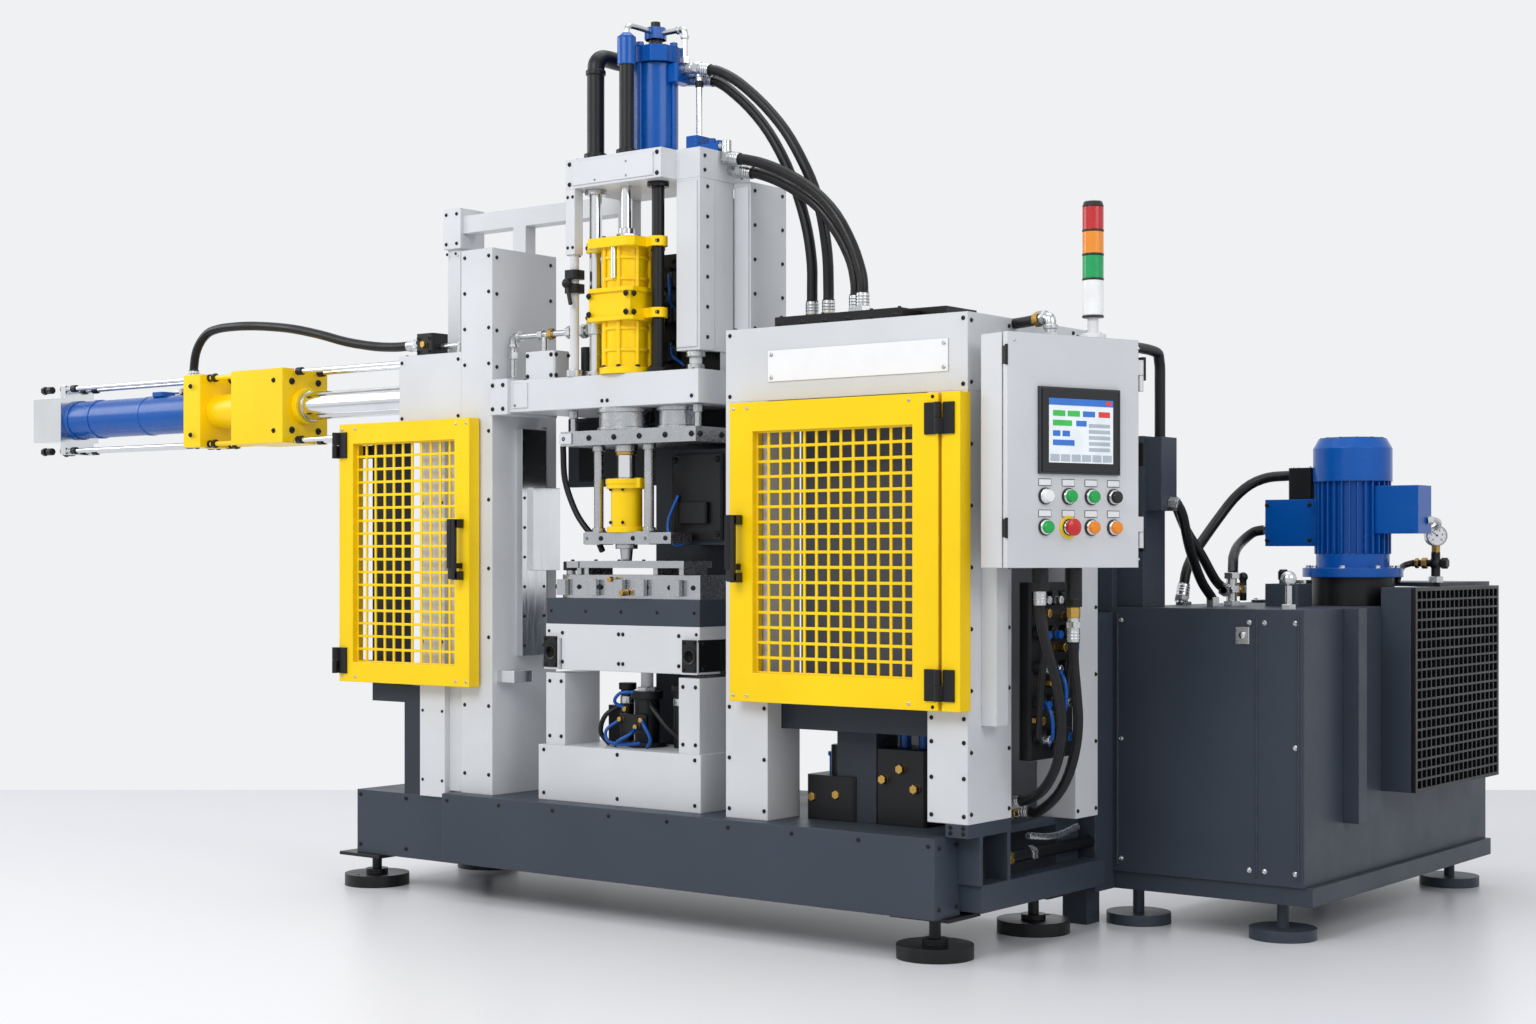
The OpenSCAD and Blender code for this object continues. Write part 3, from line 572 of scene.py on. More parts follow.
def add_line_fittings():
    """What the free hoses end in, the pipe in front of the tower and the lines over it."""
    p = Piece("line_joints", slot="bright_steel").use("zinc")
    for r, first, last, points in HOSES.values():
        p.tube(points[:first + 1], r + 2, 4, 20)
        p.tube(points[-last - 1:], r + 2, 4, 20)
    hose_end(p, "top_outer_hose", 16)
    p.bar_x([118, 138], (-119, 2425), 16)
    hose_end(p, "top_inner_hose", 6)
    p.bar_x([118, 138], (-80, 2410), 16)
    hose_end(p, "crosshead_outer_hose", 4)
    p.post((285, -150), [2130, 2196], 14)
    p.bar_x([262, 285], (-150, 2182), 11)
    hose_end(p, "crosshead_inner_hose", 20)
    p.bar_x([262, 300], (-112, 2120), 16)
    for n in ("top_outer_hose", "top_inner_hose", "crosshead_outer_hose", "crosshead_inner_hose"):
        hose_end(p, n, 4, True, n.startswith("top"))
    hose_end(p, "ram_hose", 14)
    p.elbow((-2064, -160, 1622), UP, RIGHT, 11, 22)
    p.use("brass").hex_post((-2064, -160), [1592, 1612], 19)
    hose_end(p, "ram_hose", 22, True)
    p.bar_x([-847, -765], (-160, 1682), 9)
    p.post((-765, -160), [BAY_TOP, 1691], 9)
    p.hex_post((-765, -160), [BAY_TOP, 1655], 16)
    hose_end(p, "control_left_hose", 41)
    hose_end(p, "control_right_hose", 100)
    p.use("black").post((1329, -200), [962, 999], 21)
    p.hex_post((1329, -200), [940, 964], 25)
    p.post((1367, -100), [917, 999], 22)
    p.hex_post((1367, -100), [900, 920], 25)
    p.use("brass").post((1367, -100), [872, 900], 17)
    for n in ("control_left_hose", "control_right_hose"):
        hose_end(p, n, 36, True, True)
    hose_end(p, "motor_hose", 20)
    hose_end(p, "motor_hose", 7, True)
    p.use("zinc").hex_post((1182, 868), [872, 896], 26)
    # the pipe in front of the tower, with its union, valve and tee
    foot, pipe = (-448, AXIS_Y), (AXIS_Y, 1680)
    p.post(foot, [1550, 1654], 9)
    p.hex_post(foot, [1614, 1636], 17)
    p.hex_post(foot, [1550, 1562], 17)
    p.elbow((*foot, 1680), DOWN, RIGHT, 12, 26)
    p.bar_x([-422, -136], pipe, 9)
    for x, r in ((-226, 19), (-170, 21), (-340, 16)):
        p.hex_x([x, x + 18], pipe, r)
    p.use("brass").hex_x([-300, -284], pipe, 17)
    p.use("grey").block([-368, -250], [-284, -216], [YOKE_TOP, 1628], 5)
    p.use("black").bolts((-356, -262), -284, (1556, 1616), OUT, 4.5)
    p.bolts(-250, (-276, -224), (1556, 1616), RIGHT, 4.5)
    p.use("zinc").post((-320, AXIS_Y), [1628, 1672], 9)
    p.post((-118, AXIS_Y), [1666, 1694], 29)
    # over the blue cylinder: knob to port, cap to knob, and the bright line down
    p.bar_x([28, 86], (-123, 2539), 8)
    p.elbow((110, -123, 2539), LEFT, DOWN, 9, 22)
    p.post((110, -123), [2442, 2518], 8)
    p.hex_post((110, -123), [2440, 2458], 15)
    p.use("chrome").post((160, -118), [2215, 2400], 9)
    p.use("black").post((160, -118), [2366, 2384], 12)
    p.use("zinc").hex_post((160, -118), [2203, 2220], 13)
    p.elbow((160, -118, 2425), DOWN, LEFT, 8, 24)
    p.done()


def add_tubes():
    """Pipes and hoses that are held at both ends."""
    p = Piece("held_pipes", slot="panel_plastic").use("rubber")
    p.tube([(1315, 1130, 1107), (1285, 1112, 1098), (1276, 1040, 1062), (1303, 950, 1032),
            (1334, 880, 1008), (1350, 845, 975)], 15)
    p.tube([(1270, 622, 1185), (1274, 645, 1165), (1291, 672, 1100), (1313, 715, 1036), (1330, 770, 963),
            (1338, 812, 935)], 14)
    p.tube([(1312, 572, 1176), (1316, 600, 1140), (1312, 650, 1050), (1316, 712, 960), (1326, 762, 908),
            (1326, 765, 888)], 14)
    p.tube([(-223, -275, 1348), (-220, -270, 1250), (-188, -262, 1162), (-150, -254, 1108),
            (-118, -244, 1080)], 9)
    p.rod((-104, -250, 1064), (-92, -250, 1042), 9)
    # the black pipe from the terminal box up to the control box
    p.use("black")
    p.tube([(1266, 560, 1360), (1266, 560, 1500), (1266, 556, 1572), (1266, 520, 1598), (1266, 300, 1600)], 15)
    p.tube([(1138, y, 240) for y in (-106, 40, 200, 390)], 17, 2)
    p.tube([(1184, -86, 1628), (1230, -106, 1628), (1270, -124, 1629), (1300, -137, 1630)], 14, 3)
    p.use("zinc")
    for a, b, r in (((1320, 1130, 1107), (1352, 1130, 1107), 20), ((1270, 606, 1185), (1270, 632, 1185), 19),
                    ((1290, 570, 1176), (1318, 574, 1172), 19), ((1326, 765, 886), (1326, 765, 912), 20),
                    ((1340, 818, 935), (1344, 830, 932), 19), ((1138, -92, 240), (1138, -60, 240), 23),
                    ((1138, 60, 240), (1138, 84, 240), 22)):
        p.hexa(a, b, r)
    p.elbow((1330, -150, 1630), (-0.92, 0.39, 0), DOWN, 14, 24)
    p.post((1330, -150), [1579, 1610], 14)
    p.hex_post((1330, -150), [1579, 1592], 20)
    p.use("brass").hex_y([-60, -40], (1138, 240), 24)
    p.hexa((1276, -127, 1630), (1296, -136, 1630), 20)
    p.done()


# ---- the press ----


def add_press_bolts():
    p = Piece("press_bolts").use("black")
    # crosshead and towers
    p.bolts((-165, 165), FRONT, (2096, 2154), OUT, 4.6)
    p.bolts(52, FRONT, (2100, 2140), OUT, 3.3)
    p.bolt((-66, FRONT, 2100), OUT, 3.3)
    p.bolts((-155, 155), (-285, -55), CROSSHEAD_TOP, UP, 5.9)
    p.bolts(267, (-225, -60), (2105, 2145), RIGHT)
    p.bolts(267, -213, spread(1640, 2060, 6), RIGHT)
    p.bolts((196, 254), -246, spread(1630, 2050, 5), OUT, 3.3)
    p.bolts(328, (-76, 52), spread(1575, 2060, 6), RIGHT)
    p.bolts(298, -94, spread(1600, 2060, 5), OUT, 3.3)
    p.bolts((-172, -153), FRONT, (1915, 2060), OUT, 3.3)
    # yoke, columns and left bay
    p.bolts((-462, -420), -322, (1462, 1532), OUT, 4.6)
    p.bolts((-380, -40, -20, 290), FRONT, 1470, OUT)
    p.bolts(spread(-360, 280, 6), -290, YOKE_TOP, UP, 4.6)
    p.bolts((-590, -490), FRONT, spread(380, 1400, 6) + spread(1600, 1920, 4), OUT)
    p.bolts(-475, (-292, -60), spread(1590, 1915, 4), RIGHT)
    p.bolts(-453, (-196, -112), spread(760, 1380, 8), RIGHT, 3.3)
    p.bolts((-862, -618), FRONT, (1450, 1620), OUT)
    p.bolts((-860, -620), (-290, 60), BAY_TOP, UP, 4.6)
    p.bolts(-874, (-292, 60), (1450, 1620), LEFT)
    p.bolts((-771, -687), FRONT, spread(350, 1400, 6), OUT, 3.3)
    # right bay
    p.bolts((423, 542), FRONT, spread(345, 620, 3), OUT)
    p.bolts((1077, 1174), FRONT, (375, 470, 560, 620), OUT)
    p.bolts((425, 1172), FRONT, (1460, 1625), OUT)
    p.bolts(1186, (-295, -115), spread(380, 1620, 9), RIGHT)
    p.bolts(1186, (240, 338), spread(340, 1620, 8), RIGHT)
    p.bolts(1186, (-80, 215), (1540, 1628), RIGHT)
    p.bolts((430, 1168), (-292, 330), BAY_TOP, UP, 5.3)
    p.bolts((425, 520, 1078, 1172), 350, spread(360, 1620, 7), BACK)
    # pedestal, table block and base
    p.bolts((-285, 0, 285), -290, (340, 465), OUT)
    p.bolts((-275, -230, 230, 275), -275, (505, 665), OUT)
    p.bolts(spread(-1060, -650, 3), FRONT + 10, (130, 285), OUT, 4.6)
    p.bolts(spread(-615, 1100, 9), -360, 300, OUT)
    p.bolts(1119, (-340, -262), (140, 295), RIGHT)
    p.bolts((1134, 1172), FRONT, (332, 346), OUT)
    p.bolts((-892, -854), -90, (1660, 1980), OUT, 3.3)
    p.bolts((-896, -850), -90, (2012, 2105), OUT)
    p.done()
    t = Piece("table_bolts", "lift_table").use("black")
    t.bolts((-225, -8, 8, 215), -275, (722, 806), OUT)
    t.bolts((-262, 262), -285, (715, 775), OUT, 3.3)
    t.bolts((-278, 278), -275, 811, OUT, 3.3)
    t.bolts(spread(-270, 270, 5), -275, 870, OUT, 3.3)
    t.done()


def add_head():
    """Bolts, bands and tie bars on the yellow shoot head."""
    p = Piece("head_trim", "shoot_head_unit", "yellow_paint").use("yellow")
    c = (0, AXIS_Y)
    p.block([-88, 88], [-333, -167], [1901, 1929], 16)
    for z in (1693, 1774):
        p.block([-84, 84], [-331, -169], [z, z + 13], 12)
    for z in (1607, 1668, 1808, 1868):
        p.post(c, [z, z + 10], 70)
    for at in ring(c, 69, 8, 22.5):
        p.post(at, [1566, 1693], 6, n=12)
        p.post(at, [1787, 1902], 6, n=12)
    p.use("black")
    for at in ring(c, 71, 8, 22.5):
        p.bolt((*at, 1929), UP, 6)
        p.bolt((*at, 1564), UP, 6)
    p.bolts((-70, 70), -333, (1714, 1766), OUT, 6)
    p.bolts(84, (-315, -190), (1714, 1766), RIGHT, 6)
    p.bolts(-84, (-315, -190), (1714, 1766), LEFT, 6)
    p.bolts((-132, 132), AXIS_Y - 20, (1714, 1915), OUT, 5)
    p.use("chrome").post((14, -322), [1812, 1901], 7)
    p.use("zinc").hex_post(c, [1929, 1946], 30)
    p.post(c, [1945, 1962], 23)
    p.use("brass").post((-34, -318), [1720, 1760], 5)
    p.done()


def add_tower():
    """What surrounds the head: collars, dark gear, plates and yellow valves."""
    p = Piece("tower_gear")
    for x, look in ((-118, "zinc"), (118, "black")):
        p.use(look).post((x, AXIS_Y), [YOKE_TOP, 1560], 31)
        p.post((x, AXIS_Y), [2068, 2083], 31)
    p.block([-60, 176], [-112, -84], [YOKE_TOP, 1900])
    p.block([-226, -66], [-112, -90], [YOKE_TOP, 1826])
    p.post((-205, -190), [YOKE_TOP, 1640], 19)
    p.tube([(-200, -126, 1800), (-170, -150, 1740), (-190, -150, 1680), (-150, -126, 1600)], 8)
    for z in (1590, 1700, 1800):
        p.block([-40, 60], [-132, -112], [z, z + 60])
        p.post((84, -132), [z, z + 44], 16)
    p.bolts(spread(-48, 160, 5), -112, spread(1570, 1880, 6), OUT, 5)
    p.use("yellow").block([-160, -110], [-126, -112], [1640, 1720], 5)
    p.block([-216, -190], [-124, -112], [1580, 1620], 4)
    for z in (1650, 1830):
        p.block([96, 150], [-146, -112], [z, z + 74])
    p.block([-58, -20], [-142, -112], [1610, 1680], 5)
    p.use("brass").hex_x([-150, -130], (-130, 1590), 10)
    for z in (1740, 1780, 1860):
        p.hex_x([150, 168], (-128, z), 9)
    p.use("blue")
    p.tube([(70, -134, 1640), (96, -160, 1600), (120, -150, 1580), (150, -134, 1550)], 5)
    p.tube([(60, -134, 1840), (92, -168, 1790), (84, -160, 1760), (84, -140, 1740)], 5)
    # left tower post's clamp and foot, right stub
    p.use("zinc").post((-162, -292), [YOKE_TOP, 1564], 24)
    p.post((225, -213), [1586, 1603], 28)
    p.post((225, -213), [1550, 1566], 26)
    p.use("black")
    for z in (1785, 1825):
        p.block([-186, -138], [-316, -268], [z, z + 26], 8)
    p.ball((-168, -318, 1812), 15)
    p.rod((-168, -318, 1812), (-150, -322, 1750), 6)
    p.block([-188, -172], [-300, -250], [1895, 2083], 4)
    p.done()
    # flat plates of the crosshead and the right tower
    p = Piece("tower_plates", slot="grey_paint").use("grey")
    for x, y, z in (([185, 259], [-250, -246], [1612, 2074]), ([275, 322], [-98, -94], [1556, 2070]),
                    ([248, 266], [-180, -94], [1603, 2083]), ([-152, 152], [-313, -310], [2091, 2159]),
                    ([-388, -330], [-313, -310], [1462, 1534])):
        p.block(x, y, z, 1)
    p.done()


def add_risers():
    """The black pipes and the blue cylinder's head, tie rods and knob."""
    p = Piece("top_pipes").use("black")
    left, right, blue = (-118, AXIS_Y), (0, AXIS_Y), (0, -123)
    for a, b, r in ((2167, 2426, 25), (2167, 2187, 34), (2414, 2428, 29)):
        p.post(left, [a, b], r)
    p.tube([(*left, 2424), (-118, -246, 2448), (-118, -230, 2464), (-118, -204, 2470), (-118, -150, 2470),
            (-112, -108, 2470)], 25, 5, 18)
    p.post(right, [2167, 2187], 30)
    p.bolts((-52, 52), (-175, -71), 2493, UP, 8)
    p.use("blue").post(right, [2428, 2506], 27)
    p.post(right, [2506, 2520], 27, 14)
    p.block([-148, -70], [-122, -62], [2440, 2496], 8)
    for dx, dy in SIDES:
        rod = (dx * 69, -123 + dy * 69)
        p.post(rod, [2181, 2446], 6.5)
        p.hex_post(rod, [2167, 2183], 13)
        p.hex_post(rod, [2493, 2505], 12)
    p.block([-76, 76], [-199, -47], [2446, 2493], 30)
    p.block([-74, 74], [-197, -49], [2167, 2178], 30)
    p.hex_post(blue, [2522, 2556], 34)
    p.post(blue, [2493, 2500], 26)
    p.block([62, 100], [-148, -72], [2388, 2440], 5)
    p.block([140, 184], [-158, -95], [2167, 2222], 5)
    p.block([180, 262], [-162, -95], [2168, 2192], 4)
    p.post((214, -128), [2190, 2212], 12)
    p.post((240, -128), [2190, 2204], 9)
    p.use("zinc").tube([(*right, 2518), (0, -246, 2536), (0, -226, 2544), (0, -152, 2544)], 8, 4)
    p.done()


def add_blow_area():
    """Under the yoke: drums, rods, ring plate, nozzle and the core box's plates."""
    p = Piece("blow_trim", slot="machined_steel").use("steel")
    c = (0, AXIS_Y)
    for at, r in (((-20, -225), 80), ((170, -215), 60)):
        p.post(at, [1437, 1451], r + 7, n=40)
        p.post(at, [1387, 1396], r + 5, n=40)
    for x in (-186, 280):
        p.post((x, -270), [1387, 1427], 9)
        p.hex_post((x, -270), [1427, 1449], 14)
    for x in (-95, 95):
        p.block([x - 28, x + 28], [-296, -228], [1061, 1098], 4)
        p.post((x, -262), [1329, 1345], 19)
        p.post((x, -262), [1098, 1110], 19)
    p.post(c, [1049, 1063], 32)
    p.post(c, [1325, 1345], 33)
    p.use("grey").block([-208, -160], [-309, -306], [1351, 1381], 1)
    p.use("chrome").post(c, [1250, 1330], 25)
    p.use("yellow").block([40, 66], [-270, -230], [1222, 1250], 3)
    p.post(c, [1095, 1112], 56)
    p.post(c, [1232, 1248], 60, n=40)
    p.use("brass").post(c, [1316, 1326], 30)
    p.use("black").bolts((-22, 24), AXIS_Y - 44, (1124, 1218), OUT, 3.5)
    for at in ring(c, 48, 6, 30):
        p.bolt((*at, 1248), UP, 4.5)
    p.bolts(spread(-190, 285, 6), -305, 1366, OUT, 6)
    p.bolts(300, (-285, -190, -95), 1366, RIGHT, 6)
    p.bolts((-110, -60, 60, 110, 180), -292, 1079, OUT, 5)
    p.bolts((-115, -75, 75, 115), -262, 1098, UP, 5)
    # dark gear behind, with a cable duct and valves
    p.block([110, 296], [-184, -170], [1074, 1316], 8)
    p.bolts((126, 280), -184, (1090, 1300), OUT, 6)
    p.block([150, 250], [-200, -184], [1120, 1180], 5)
    p.block([-430, -80], [12, 20], [1260, 1440], 4)
    p.use("blue").tube([(140, -188, 1200), (120, -210, 1120), (150, -214, 1060), (190, -188, 1076)], 5)
    p.done()
    t = Piece("core_box_trim", "lift_table", "machined_steel").use("steel")
    t.block([-196, -150], [-292, -165], [995, 1014], 3)
    for x in (-180, 110, 214):
        t.span([x, x + 16], [-262, -176], [975, 996])
    for x in (-240, -120, -20, 60, 190):
        t.block([x, x + 34], [-286, -268], [916, 962], 2)
    t.post((-245, -215), [975, 1009], 15)
    t.use("black").post((-245, -215), [987, 1013], 24)
    t.bolts(spread(-252, 260, 7), -268, 940, OUT, 5)
    t.bolts((-180, -90, 90, 215), (-280, -180), 1014, UP, 5)
    t.use("brass").hex_y([-292, -276], (-30, 962), 8)
    t.hex_y([-298, -270], (20, 925), 9)
    t.done()


def add_lift():
    """Lift cylinder fittings and small hoses between the pedestal's legs."""
    p = Piece("lift_gear").use("black")
    p.post((0, -160), [480, 494], 58)
    p.post((0, -160), [618, 640], 46)
    for x in (-92, 110):
        p.use("black").post((x, -140), [480, 640], 20)
        p.post((x, -140), [640, 660], 26)
        p.use("zinc").post((x, -140), [600, 622], 22)
    p.hex_post((0, -160), [640, 652], 30)
    p.use("black").block([-60, 40], [-215, -196], [520, 575], 5)
    p.block([70, 180], [-120, -90], [480, 620])
    p.block([-190, -110], [-120, -90], [480, 590])
    p.tube([(-60, -200, 600), (-96, -232, 570), (-120, -226, 520), (-100, -210, 484)], 7)
    p.tube([(46, -200, 610), (90, -232, 590), (140, -228, 540), (190, -200, 500), (212, -180, 484)], 7)
    for x, z, rest in ((-50, 560, [(-80, -246, 530), (-70, -250, 498), (-20, -244, 490), (40, -236, 496)]),
                       (30, 560, [(62, -246, 548), (80, -240, 510), (60, -230, 484)]),
                       (-30, 590, [(-52, -242, 610), (-30, -244, 636), (4, -224, 640)]),
                       (10, 540, [(10, -250, 520), (-30, -252, 500), (-60, -232, 484)])):
        p.use("blue").tube([(x, -216 if z == 560 else -214, z)] + rest, 5)
        p.use("brass").hex_y([-214, -228], (x, z), 8)
    p.done()


# ---- side ram, bays and panels ----


def add_ram():
    """Tie rod nuts, bands and fittings of the side ram, and the valves on the bays' tops."""
    p = Piece("ram_trim").use("black")
    for yz in product((-205, -115), (1410, 1634)):
        for x in (-2846, -2760, -2700, -2040, -1940, -1470, -920):
            p.bar_x([x, x + 26], yz, 13)
        for x in (-2874, -1996, -1900):
            p.hex_x([x, x + 16], yz, 15)
    p.bolts(-1486, (-216, -104), (1442, 1602), RIGHT, 8)
    p.bolts((-1960, -1530), -255, (1440, 1605), OUT, 6)
    p.bolts(-874, (-220, -100), (1462, 1582), LEFT, 7)
    for look, x, length, r in (("blue", -2721, 22, 71), ("blue", -2600, 22, 70), ("blue", -2310, 22, 69),
                               ("blue", -2034, 22, 71), ("yellow", -1486, 24, 60), ("zinc", -1462, 14, 50),
                               ("zinc", -890, 16, 56)):
        p.use(look).bar_x([x, x + length], RAM, r, 40)
    p.use("blue").block([-2260, -2200], [-190, -130], [1586, 1602], 5)
    p.use("zinc").bar_x([-2160, -2010], (-160, 1600), 8)
    for x in (-2130, -2080, -2040):
        p.hex_x([x, x + 14], (-160, 1600), 15)
    p.use("brass").hex_x([-2108, -2096], (-160, 1600), 15)
    # manifold on the right bay's top
    p.use("black").block([486, 905], [-195, -96], [BAY_TOP, 1681], 5)
    p.bolts(spread(505, 886, 6), -195, 1661, OUT, 5)
    p.bolts((500, 640, 800, 890), -178, 1681, UP, 5)
    # valve on the left bay's cover
    p.block([-924, -847], [-195, -125], [1653, 1723])
    p.block([-932, -840], [-202, -118], [BAY_TOP, 1655], 5)
    p.bolts((-910, -862), -195, (1668, 1708), OUT, 5)
    p.use("brass").hex_y([-195, -205], (-886, 1688), 11)
    p.done()


def add_sign():
    """A bare white plate on the right bay's top, held by four screws."""
    p = Piece("sign_plate", slot="panel_plastic").use("white_plate")
    p.block([555, 1129], [-313, FRONT], [1494, 1577], 2)
    p.use("zinc").bolts((568, 1116), -313, (1505, 1566), OUT)
    p.done()


def add_dark_machinery():
    """Valves, pipes and fittings on the base behind the control hoses and under the bays."""
    p = Piece("base_equipment").use("black")
    p.block([1030, 1110], [-95, -10], [320, 430])
    for y, z in ((-74, 400), (-30, 365)):
        p.use("black").hex_x([1110, 1128], (y, z), 24)
        p.use("zinc").bar_x([1110, 1150], (y, z), 15)
    p.use("black")
    p.block([600, 760], [-200, -60], [320, 440], 8)
    p.block([820, 980], [-190, -40], [320, 520], 8)
    p.post((680, -140), [440, 520], 32)
    p.block([-860, -640], [-180, 40], [320, 430], 8)
    p.post((-740, -100), [430, 560], 40)
    p.use("blue")
    for x, z in ((640, 440), (720, 470), (870, 520), (930, 520)):
        p.post((x, -120), [z, z + 46], 16)
        p.post((x, -120), [z + 46, z + 58], 20)
    p.tube([(1060, -70, 430), (1062, -74, 500), (1010, -80, 560), (930, -90, 590), (900, -100, 560)], 9)
    p.use("brass")
    for x, z in ((620, 380), (700, 390), (850, 440), (905, 470), (950, 420), (1060, 440)):
        p.hex_y([-205, -180], (x, z), 12)
    p.hex_post((1070, -50), [430, 452], 14)
    # valves on the bay's side, behind the control hoses
    p.use("black").block([1186, 1224], [-70, 150], [500, 960])
    for z in (560, 650, 740, 830, 920):
        for y in (-40, 20, 90):
            p.use("black").bar_x([1224, 1246], (y, z), 19)
            p.use("blue" if (z + y) % 20 else "zinc").bar_x([1244, 1262], (y + 6, z - 6), 11)
    p.use("brass")
    for yz in ((-52, 604), (-8, 700), (48, 610), (60, 790), (-20, 880), (118, 690), (100, 870)):
        p.hex_x([1224, 1254], yz, 12)
    p.use("blue")
    p.tube([(1250, -40, 650), (1276, -52, 620), (1272, -40, 570), (1248, -20, 540)], 5)
    p.tube([(1250, 20, 740), (1280, 10, 700), (1276, 20, 640), (1250, 48, 610)], 5)
    p.tube([(1250, 90, 830), (1282, 70, 800), (1278, 60, 740), (1250, 90, 700)], 5)
    p.use("black")
    p.tube([(1240, -40, 900), (1268, -70, 820), (1262, -80, 700), (1244, -66, 560)], 9)
    p.tube([(1240, 60, 930), (1284, 40, 860), (1276, 30, 700), (1240, 20, 520)], 9)
    p.use("yellow").block([-630, -612], [-190, -140], [320, 400], 4)
    p.use("zinc").tube([(1186, -20, 300), (1192, 60, 290), (1190, 140, 288), (1190, 230, 300)], 9.1)
    p.done()


def add_door(name, body, screws, grip):
    """A guard door's screws and a thick plastic handle over the CAD's slim one."""
    p = Piece(name, body)
    for look, x, z in screws:
        p.use(look).bolts(x, DOOR_FACE, z, OUT, 3.2)
    x = [grip, grip + 26]
    p.use("black_plastic").block(x, [-407, -384], [962, 1136])
    for z in (958, 1112):
        p.block([grip + 1, grip + 25], [-388, DOOR_FACE], [z, z + 26], 4)
        p.block(x, [-405, -382], [z + 2, z + 24], 8)
    p.done()


# ---- control box ----

BOX = Matrix.Translation((1329, -354, 0)) @ Matrix.Rotation(math.radians(71), 4, "Z")
FIELD = [-12.6, -11]        # front and back of the screen's fields


def add_control_panel():
    """The screen with generic fields and no words, the buttons and the box's hinges."""
    p = Piece("panel_parts", "control_panel_door", "panel_plastic", BOX)
    p.use("black_plastic").block([100, 355], [-11, -8], [1237, 1443], 3)
    p.use("screen_page").span([122, 333], [-12, -10], [1260, 1420])
    p.use("screen_blue").span([122, 333], FIELD, [1403, 1420])
    p.use("screen_red").span([308, 327], [-13, -11.5], [1406, 1416])
    for look, x, z, w in (("green", 134, 1376, 40), ("green", 182, 1376, 40), ("green", 134, 1352, 62),
                          ("blue", 232, 1376, 40), ("blue", 210, 1352, 34), ("blue", 134, 1326, 24),
                          ("blue", 165, 1326, 24), ("blue", 134, 1303, 70), ("red", 284, 1376, 38)):
        p.use("screen_" + look).span([x, x + w], FIELD, [z, z + 14])
    p.use("screen_grey")
    for k in range(5):
        p.span([252, 322], FIELD, [1290 + 15 * k, 1299 + 15 * k])
    for k in range(6):
        p.span([126 + 34.5 * k, 155 + 34.5 * k], [-12.8, -11], [1264, 1281])

    def cap(look, profile):
        """One round part of the button at x and z."""
        p.use(look).turned((x, 0, z), (x, -1, z), profile, 32)

    for z, looks in ((1177, ("cap_white", "cap_green", "cap_green", "black_plastic")),
                     (1100, ("cap_green", "cap_red", "cap_orange", "cap_orange"))):
        for x, look in zip((118, 194, 269, 344), looks):
            cap("black_plastic", [(21, 0), (21, 5), (19, 7), (17, 7)])
            cap("chrome", [(18.5, 5), (18.5, 8), (17.5, 9.5), (15.6, 9.5)])
            if look == "cap_red":
                cap("cap_yellow", [(29, 0), (29, 3), (27, 4), (22, 4)])
                cap("cap_red", [(11, 4), (11, 14), (20, 16), (22, 20), (21, 26), (14, 29), (2, 30)])
            else:
                cap(look, [(15.5, 3), (15.5, 19), (14, 21.5), (2, 22.5)])
            p.use("black_plastic").block([x - 21, x + 21], [-1.0, 0], [z + 25, z + 43], 0.5)
            p.use("label_plate").block([x - 19.5, x + 19.5], [-1.6, -0.5], [z + 26.5, z + 41.5], 0.5)
    p.done()
    p = Piece("panel_hardware", at=BOX).use("black")
    for z in (1070, 1289, 1508):
        p.span([452, 462], [6, 40], [z - 30, z + 30])
    p.done()
    p = Piece("panel_hinges", "control_panel_door", at=BOX).use("black")
    for z in (1075, 1500):
        p.block([-3, 1], [1, 20], [z, z + 44], 1)
        p.post((-3, 2), [z - 3, z + 47], 4)
    p.use("zinc").bolts(430, 0, (1020, 1558), OUT, 2.5)
    p.bolt((20, 0, 1558), OUT, 2.5)
    p.done()


def add_lamp():
    """The stack light's bands, as clear plastic rings round its stem."""
    p = Piece("lamp_bands", slot="lamp_plastic", at=BOX)
    at = (330, 60)
    for look, a, b in (("white", 1641, 1731), ("green", 1735, 1794), ("orange", 1798, 1855),
                       ("red", 1859, 1918)):
        p.use("band_" + look).post(at, [a, b], 27, n=40)
    p.use("black_plastic")
    for z in (1636, 1731, 1794, 1855):
        p.post(at, [z, z + 5], 28, n=40)
    p.post(at, [1918, 1932], 27.5, 24, 40)
    p.use("lamp_plastic").post(at, [1593, 1637], 14, n=32)
    p.post(at, [1579, 1595], 34, 30, 40)
    p.use("zinc")
    for w in (0.6, 2.7, 4.8):
        p.bolt((330 + 26 * math.cos(w), 60 + 26 * math.sin(w), 1593), UP, 3)
    p.done()


# ---- hydraulic unit ----


